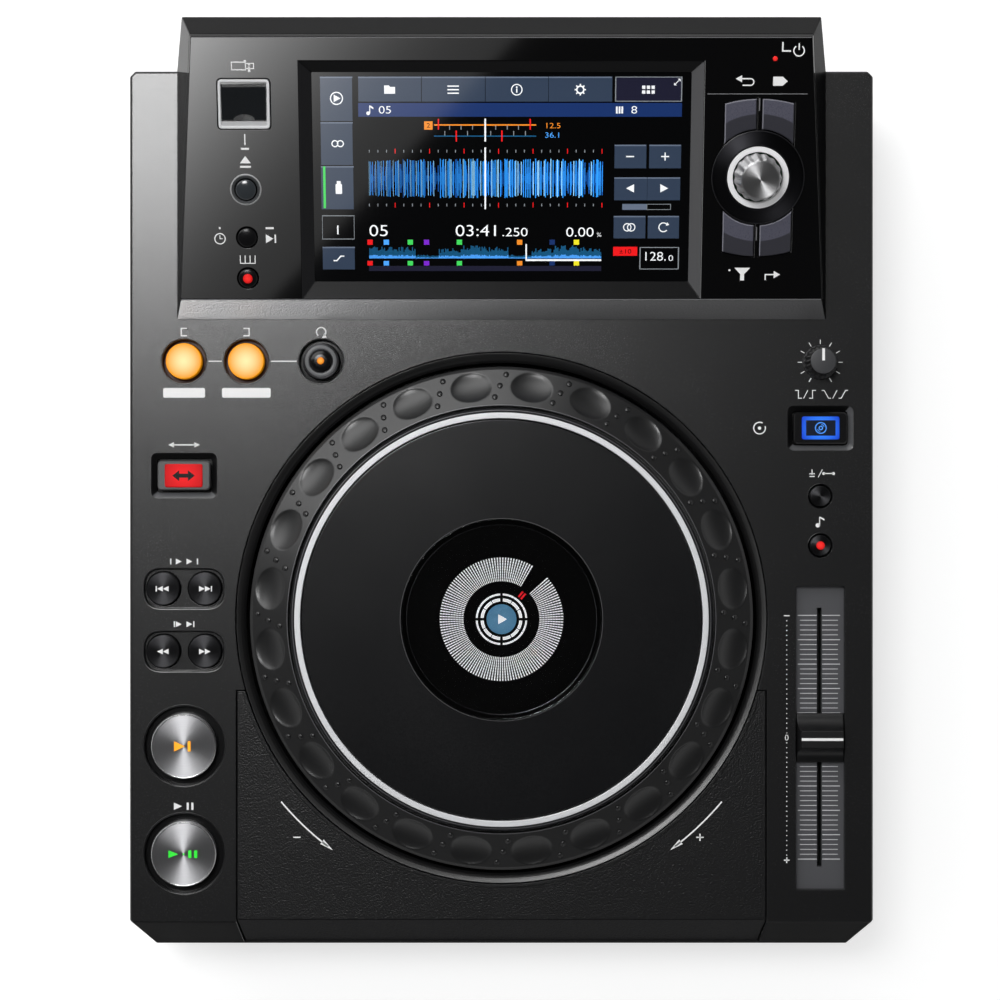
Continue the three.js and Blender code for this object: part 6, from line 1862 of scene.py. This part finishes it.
right += [bar(range_x - 3.4, range_y + 9.2, 2.2, 0.4),
          bar(range_x - 3.4, range_y + 9.9, 0.4, 2.2),
          bar(range_x - 3.4, range_y + 8.1, 2.2, 0.4),
          stroke([(range_x - 0.9, range_y + 7.7), (range_x + 0.9, range_y + 11.0)], 0.3),
          bar(range_x + 3.4, range_y + 9.3, 4.0, 0.4),
          disc_outline(0.62, 20, range_x + 1.4, range_y + 9.3),
          disc_outline(0.62, 20, range_x + 5.4, range_y + 9.3)]
tempo_x, tempo_y, _ = middle_of("master_tempo_button")
right += [disc_outline(0.9, 20, tempo_x - 1.0, tempo_y + 8.3),
          bar(tempo_x - 0.25, tempo_y + 10.0, 0.4, 3.6),
          [(tempo_x - 0.1, tempo_y + 11.9), (tempo_x + 1.7, tempo_y + 10.9),
           (tempo_x + 1.7, tempo_y + 10.2), (tempo_x - 0.1, tempo_y + 11.2)]]
dots, scale_end = 117.4, 50.3
for i in range(1, 25):
    right.append(disc_outline(0.22, 12, dots, FADER_Y + 2.01 * i))
    right.append(disc_outline(0.22, 12, dots, FADER_Y - 2.01 * i))
right += [bar(dots, FADER_Y + scale_end, 2.4, 0.45),
          bar(dots, FADER_Y - scale_end, 2.4, 0.45),
          bar(dots, FADER_Y - scale_end, 0.45, 2.4)]
marks("deck_marks_right", right, WHITE_INK, "case", on_deck(0, 0))
numbers("fader_zero", "0", dots, FADER_Y, 3.4, WHITE_INK, "case", on_deck(0, 0))
print("marks on the right:", len(right))

# %% [markdown]
# Two arrows curve round the front of the wheel. Each is a stroke along an arc with a
# slim head, and a plus or minus sign says which way is faster.

# %% Curved arrows in front of the jog wheel
turn_marks = []
for side in (-1, 1):
    arc = arc_points(118.0, 270 + side * 50.2, 270 + side * 37.2, 0, JOG_Y)
    turn_marks.append(stroke(arc, 0.6))
    tip = Vector(arc[-1])
    run = (tip - Vector(arc[-3])).normalized()
    side_way = Vector((-run.y, run.x))
    turn_marks.append([tuple(tip + run * 2.4), tuple(tip - run * 3.2 + side_way * 1.2),
                       tuple(tip - run * 3.2 - side_way * 1.2)])
sign_y = JOG_Y - 90.2
turn_marks += [bar(-84.2, sign_y, 3.0, 0.5), bar(81.7, sign_y, 3.0, 0.5),
               bar(81.7, sign_y, 0.5, 3.0)]
marks("turn_arrows", turn_marks, WHITE_INK, "case", on_deck(0, 0))
print("arrow shapes:", len(turn_marks))

# %% [markdown]
# Marks on the pod's face. Beside the keys stand a memory stick, an eject sign, a clock
# and a grid. Fine light lines run round the polished panel, where its edge catches the
# lamps.

# %% Marks on the face
U = LEFT_U
face_marks = [stroke([(-107.6, 92.5), (-107.6, 95.5), (-102.0, 95.5), (-102.0, 92.5),
                      (-107.8, 92.5)], 0.4),
              stroke([(-102.0, 95.0), (-98.8, 95.0), (-98.8, 93.0), (-102.0, 93.0)], 0.4),
              bar(-100.6, 94.45, 0.9, 0.4), bar(-100.6, 93.55, 0.9, 0.4),
              disc_outline(0.5, 16, -102.2, 95.9), bar(-100.6, 92.2, 1.0, 1.0)]
face_marks += [bar(U, 64.9, 0.5, 4.4), bar(U, 61.2, 3.2, 0.8)]
face_marks += [[(U - 2.2, 55.4), (U + 2.2, 55.4), (U, 58.4)], bar(U, 54.0, 4.4, 0.8)]
face_marks += [disc_outline(0.45, 20, U - 11.0, 29.3), bar(U + 9.2, 29.3, 3.3, 0.8)]
face_marks += ink_ring(2.1, 0.42, U - 11, 25.0) + [
    stroke([(U - 11, 26.4), (U - 11, 25.0), (U - 10, 25.0)], 0.35)]
face_marks += [[(U + 7.6, 23.2), (U + 10.6, 25.0), (U + 7.6, 26.8)],
               bar(U + 11.4, 25.0, 0.6, 3.4)]
face_marks += [bar(U + x, 16.6, 0.35, 3.2) for x in (-3.0, -1.0, 1.0, 3.0)]
face_marks += [bar(U, 15.0, 6.35, 0.35)]
pu, pv = 118.4, 100.3
face_marks += [ink_arc(2.1, -235, 55, 0.5, pu, pv - 0.3), bar(pu, pv + 1.3, 0.5, 2.6),
               stroke([(111.9, 103.4), (111.9, 99.9), (115.2, 99.9)], 0.6)]
face_marks += [stroke([(95.0, 89.0), (99.6, 89.0)], 0.5),
               ink_arc(1.3, -90, 90, 0.5, 99.4, 87.7),
               stroke([(96.2, 86.4), (99.6, 86.4)], 0.5),
               [(93.4, 89.0), (96.0, 90.4), (96.0, 87.6)]]
face_marks += [[(108.4, 86.2), (112.2, 86.2), (114.2, 88.0), (112.2, 89.8), (108.4, 89.8)]]
face_marks += [[(94.6, 13.2), (101.0, 13.2), (98.6, 10.6), (98.6, 8.0), (97.0, 8.0),
                (97.0, 10.6)],
               disc_outline(0.45, 20, 92.6, 12.2)]
face_marks += [stroke([(107.2, 8.2), (107.2, 10.4), (111.0, 10.4)], 0.5),
               [(113.2, 10.4), (110.6, 11.9), (110.6, 8.9)]]
marks("face_marks", face_marks, WHITE_INK, "case", ON_FACE)
print("marks on the face:", len(face_marks))

# %% [markdown]
# The panel's real edges are polished, and each shows as a hair of light. The bevel is
# too narrow to show that from a metre away, so a thin grey line lies along it.

# %% Light lines on the panel's edges
EDGE_GREY = moulded("edge_line_grey", (0.20, 0.20, 0.21), 0.3, bump=0.0)
top_half = pod_half(RIDGE_Z) - 0.4
low_half = pod_half(FACE_Z) - 0.4
lines = [stroke([(-top_half, 105.2), (top_half, 105.2)], 0.28),
         stroke([(-low_half, 0.25), (low_half, 0.25)], 0.28),
         stroke([(82.2, 83.0), (top_half - 2.5 + 1.6, 83.0)], 0.3)]
marks("face_edge_lines", lines, EDGE_GREY, "case", ON_FACE, top=0.02)
divider = [bar(RIGHT_U, SELECT_V + 29.0, 0.45, 5.0), bar(RIGHT_U, SELECT_V - 22.8, 0.45, 5.5)]
marks("selector_divider_lines", divider, EDGE_GREY, "case", ON_FACE, top=0.04)
print("face marks:", len(face_marks))

# %% [markdown]
# The rear wall holds the sockets. Their solids have the right shape, so they stay and
# take better finishes. The power button and the jacks' collars are turned anew, because
# facets would show on parts this small.

# %% Rear sockets
power_y = low_corner("power_button")[1]
run = high_corner("power_button")[1] - power_y
button = [(0, 0), (5, 0), (5, run), (3.8, run), (3.4, run - 0.5), (0, run - 0.7)]
place = on_deck(power_x, power_y, power_z) @ REARWARD
press = turned("power_button_cap", button, KNOB_BLACK, "power", place, radius=0.35, steps=72)
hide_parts("power_button")
flange_profile = [(4.8, 0.5), (6.6, 0.5), (6.6, 2.5), (4.8, 2.5)]
turned("power_button_flange", flange_profile, KNOB_BLACK, "power", place, radius=0.2, steps=72)
collar = [(1.8, -4.0), (3.4, -4.0), (3.4, 0.9), (3.0, 1.2), (1.9, 1.2)]
for number, shift in enumerate(JACKS):
    turned(f"jack_collar_{number}", collar, CHROME, "case",
           on_deck(JACK_X + shift, REAR + 0.6, JACK_Z) @ REARWARD, radius=0.15, steps=64)
print("power button runs:", round(run, 2))

# %% [markdown]
# Some solids stay as they are: boards, the power supply, sockets. They show only
# through gaps or from below, so a fitting finish is all they need.

# %% Finishes for the solids that stay
BOARD_DARK = moulded("board_dark", (0.010, 0.012, 0.011), 0.4)
staying = {"bottom_plate": PAINTED, "left_switch_board": BOARD_DARK,
           "right_control_board": BOARD_DARK, "display_board": BOARD_GREEN,
           "main_board": BOARD_GREEN, "power_supply": STEEL, "ac_inlet": KNOB_BLACK,
           "audio_jacks": KNOB_BLACK, "network_port": STEEL, "computer_port": STEEL,
           "jog_bearing": ACETAL, "jog_gear": ACETAL, "encoder_pinion": ACETAL,
           "jog_display": DISPLAY_BLACK, "lcd_module": KEY_BLACK, "selector_shaft": STEEL,
           "data_socket": STEEL, "tempo_scale_plate": SCALE_GREY, "touch_glass": SCREEN_BLACK}
for node, material in staying.items():
    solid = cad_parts[node]
    solid.data.materials.clear()
    solid.data.materials.append(material)
shown_solids = [name for name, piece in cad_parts.items() if not piece.hide_render]
print("solids still shown:", sorted(set(shown_solids) - set(staying)) or "all dressed")

# %% [markdown]
# The light is a studio's. The key is one soft box, high at the upper left. Satin plastic
# spreads its mirror image into the broad sheen that fades from the deck's far left
# corner to the near right one, and spun metal draws it out into fans. A long low box
# behind it rakes the cone of the jog wheel's rim and every edge that faces it. Two broad
# fills lift the shade and don't show as mirror images in the gloss.

# %% Soft boxes
def soft_box(name, place, aim, width, length, radiance, across=(1, 0, 0), mirrored=True):
    data = bpy.data.lights.new(name, "AREA")
    data.shape = "RECTANGLE"
    data.size = width
    data.size_y = length
    data.energy = radiance * math.pi * width * length
    lamp = bpy.data.objects.new(name, data)
    back = (Vector(place) - Vector(aim)).normalized()
    side = (Vector(across) - back * back.dot(Vector(across))).normalized()
    turned_to = Matrix((side, back.cross(side), back)).transposed().to_4x4()
    lamp.matrix_world = Matrix.Translation(place) @ turned_to
    lamp.visible_glossy = mirrored
    lamp.visible_camera = False
    bpy.context.scene.collection.objects.link(lamp)
    return lamp


soft_box("key_box", (-0.523, 0.752, 2.57), (0, 0, 0.05), 0.68, 0.68, 15.5)
soft_box("rake_box", (-0.752, 1.203, 1.19), (0, 0, 0.08), 2.4, 0.8, 2.4,
         across=(0.848, 0.530, 0))
soft_box("left_fill", (-1.1, 0.2, 1.9), (0, 0, 0.05), 1.4, 1.4, 0.6, mirrored=False)
soft_box("right_fill", (1.2, -0.6, 1.8), (0, 0, 0.05), 1.2, 1.2, 0.6, mirrored=False)
print("lamps so far:", len(bpy.data.lights))

# %% [markdown]
# Two smaller boxes are flagged, as a photographer does with black card, so that each
# reaches one piece alone. The first makes the slanting sheen in the pod's face: it ends
# in a straight edge, and it grows brighter away from that edge. The second skims the
# strip below the face from the left.

# %% Flagged boxes
def only_on(lamp, *pieces):
    group = bpy.data.collections.new(lamp.name + "_flag")
    for piece in pieces:
        group.objects.link(piece)
    lamp.light_linking.receiver_collection = group


slant = soft_box("slant_box", (-0.294, -0.397, 1.9), (-0.294, -0.397, 0), 0.38, 1.1, 1.0,
                 across=(-0.739, 0.673, 0))
slant.data.use_nodes = True
tree = slant.data.node_tree
glow = next(node for node in tree.nodes if node.type == "EMISSION")
across = add(tree, "ShaderNodeNewGeometry")
split = add(tree, "ShaderNodeSeparateXYZ", {0: across.outputs["Parametric"]})
rise = sum_node(tree, "MULTIPLY", sum_node(tree, "POWER", split.outputs[0], 2.5), 19.0)
capped = sum_node(tree, "MINIMUM", sum_node(tree, "ADD", rise, 0.75), 9.0)
feed(tree, glow, {"Strength": capped})
screen_pieces = [piece for piece in bpy.data.objects if piece.type == "MESH" and any(
    coat and coat.name.startswith("screen_") for coat in piece.data.materials)]
only_on(slant, face_plate, *screen_pieces)
skim = soft_box("skim_box", (-0.27, -0.30, 0.2), (-0.12, 0.07, 0.078), 0.3, 0.3, 26.0)
only_on(skim, pod)
print("lamps:", len(bpy.data.lights))

# %% [markdown]
# The room is white to the camera. What shiny pieces see is white near the horizon and
# dark overhead, as in a studio with a black ceiling, so black gloss stays black from
# above and its edges still catch light.

# %% Room
world = bpy.data.worlds.new("room")
bpy.context.scene.world = world
world.use_nodes = True
tree = world.node_tree
tree.nodes.clear()
out = add(tree, "ShaderNodeOutputWorld")
path = add(tree, "ShaderNodeLightPath")
sky = add(tree, "ShaderNodeTexCoord")
split = add(tree, "ShaderNodeSeparateXYZ", {0: sky.outputs["Generated"]})
height = add(tree, "ShaderNodeMapRange",
             {"Value": split.outputs["Z"], "From Min": 0.04, "From Max": 0.40,
              "To Min": 0.65, "To Max": 0.03})


def wall_light(strength):
    values = {"Color": (1, 1, 1, 1), "Strength": strength}
    return add(tree, "ShaderNodeBackground", values).outputs[0]


def either(share, first, second):
    return add(tree, "ShaderNodeMixShader", {0: share, 1: first, 2: second}).outputs[0]


mirrored = sum_node(tree, "MAXIMUM", path.outputs["Is Glossy Ray"],
                    path.outputs["Is Transmission Ray"])
bounce = either(mirrored, wall_light(0.27), wall_light(height.outputs["Result"]))
feed(tree, out, {"Surface": either(path.outputs["Is Camera Ray"], bounce, wall_light(1.0))})
print("room nodes:", len(tree.nodes))

# %% [markdown]
# The floor is a wide pale sheet. To the camera it is lifted to white where the light
# falls freely, and it stays a little darker in the player's own shadow. Its back is
# clear, so that the player's feet and screws can be looked at from below.

# %% Floor
floor_mesh = to_mesh("floor", [(-4000, -4000, 0), (4000, -4000, 0), (4000, 4000, 0),
                               (-4000, 4000, 0)], [[0, 1, 2, 3]])
floor = shown("floor", floor_mesh, WHITE_INK, None, smooth=0)
paper = bpy.data.materials.new("floor_paper")
paper.use_nodes = True
tree = paper.node_tree
tree.nodes.clear()
out = add(tree, "ShaderNodeOutputMaterial")
matt = add(tree, "ShaderNodeBsdfDiffuse", {"Color": (0.62, 0.62, 0.62, 1)})
path = add(tree, "ShaderNodeLightPath")
seen = sum_node(tree, "MULTIPLY", path.outputs["Is Camera Ray"], 0.60)
lift = add(tree, "ShaderNodeEmission", {"Strength": seen})
both = add(tree, "ShaderNodeAddShader", {0: matt.outputs[0], 1: lift.outputs[0]})
clear = add(tree, "ShaderNodeBsdfTransparent")
side = add(tree, "ShaderNodeNewGeometry")
sheet = either(side.outputs["Backfacing"], both.outputs[0], clear.outputs[0])
feed(tree, out, {"Surface": sheet})
floor.data.materials[0] = paper
print("floor corners:", len(floor_mesh.vertices))
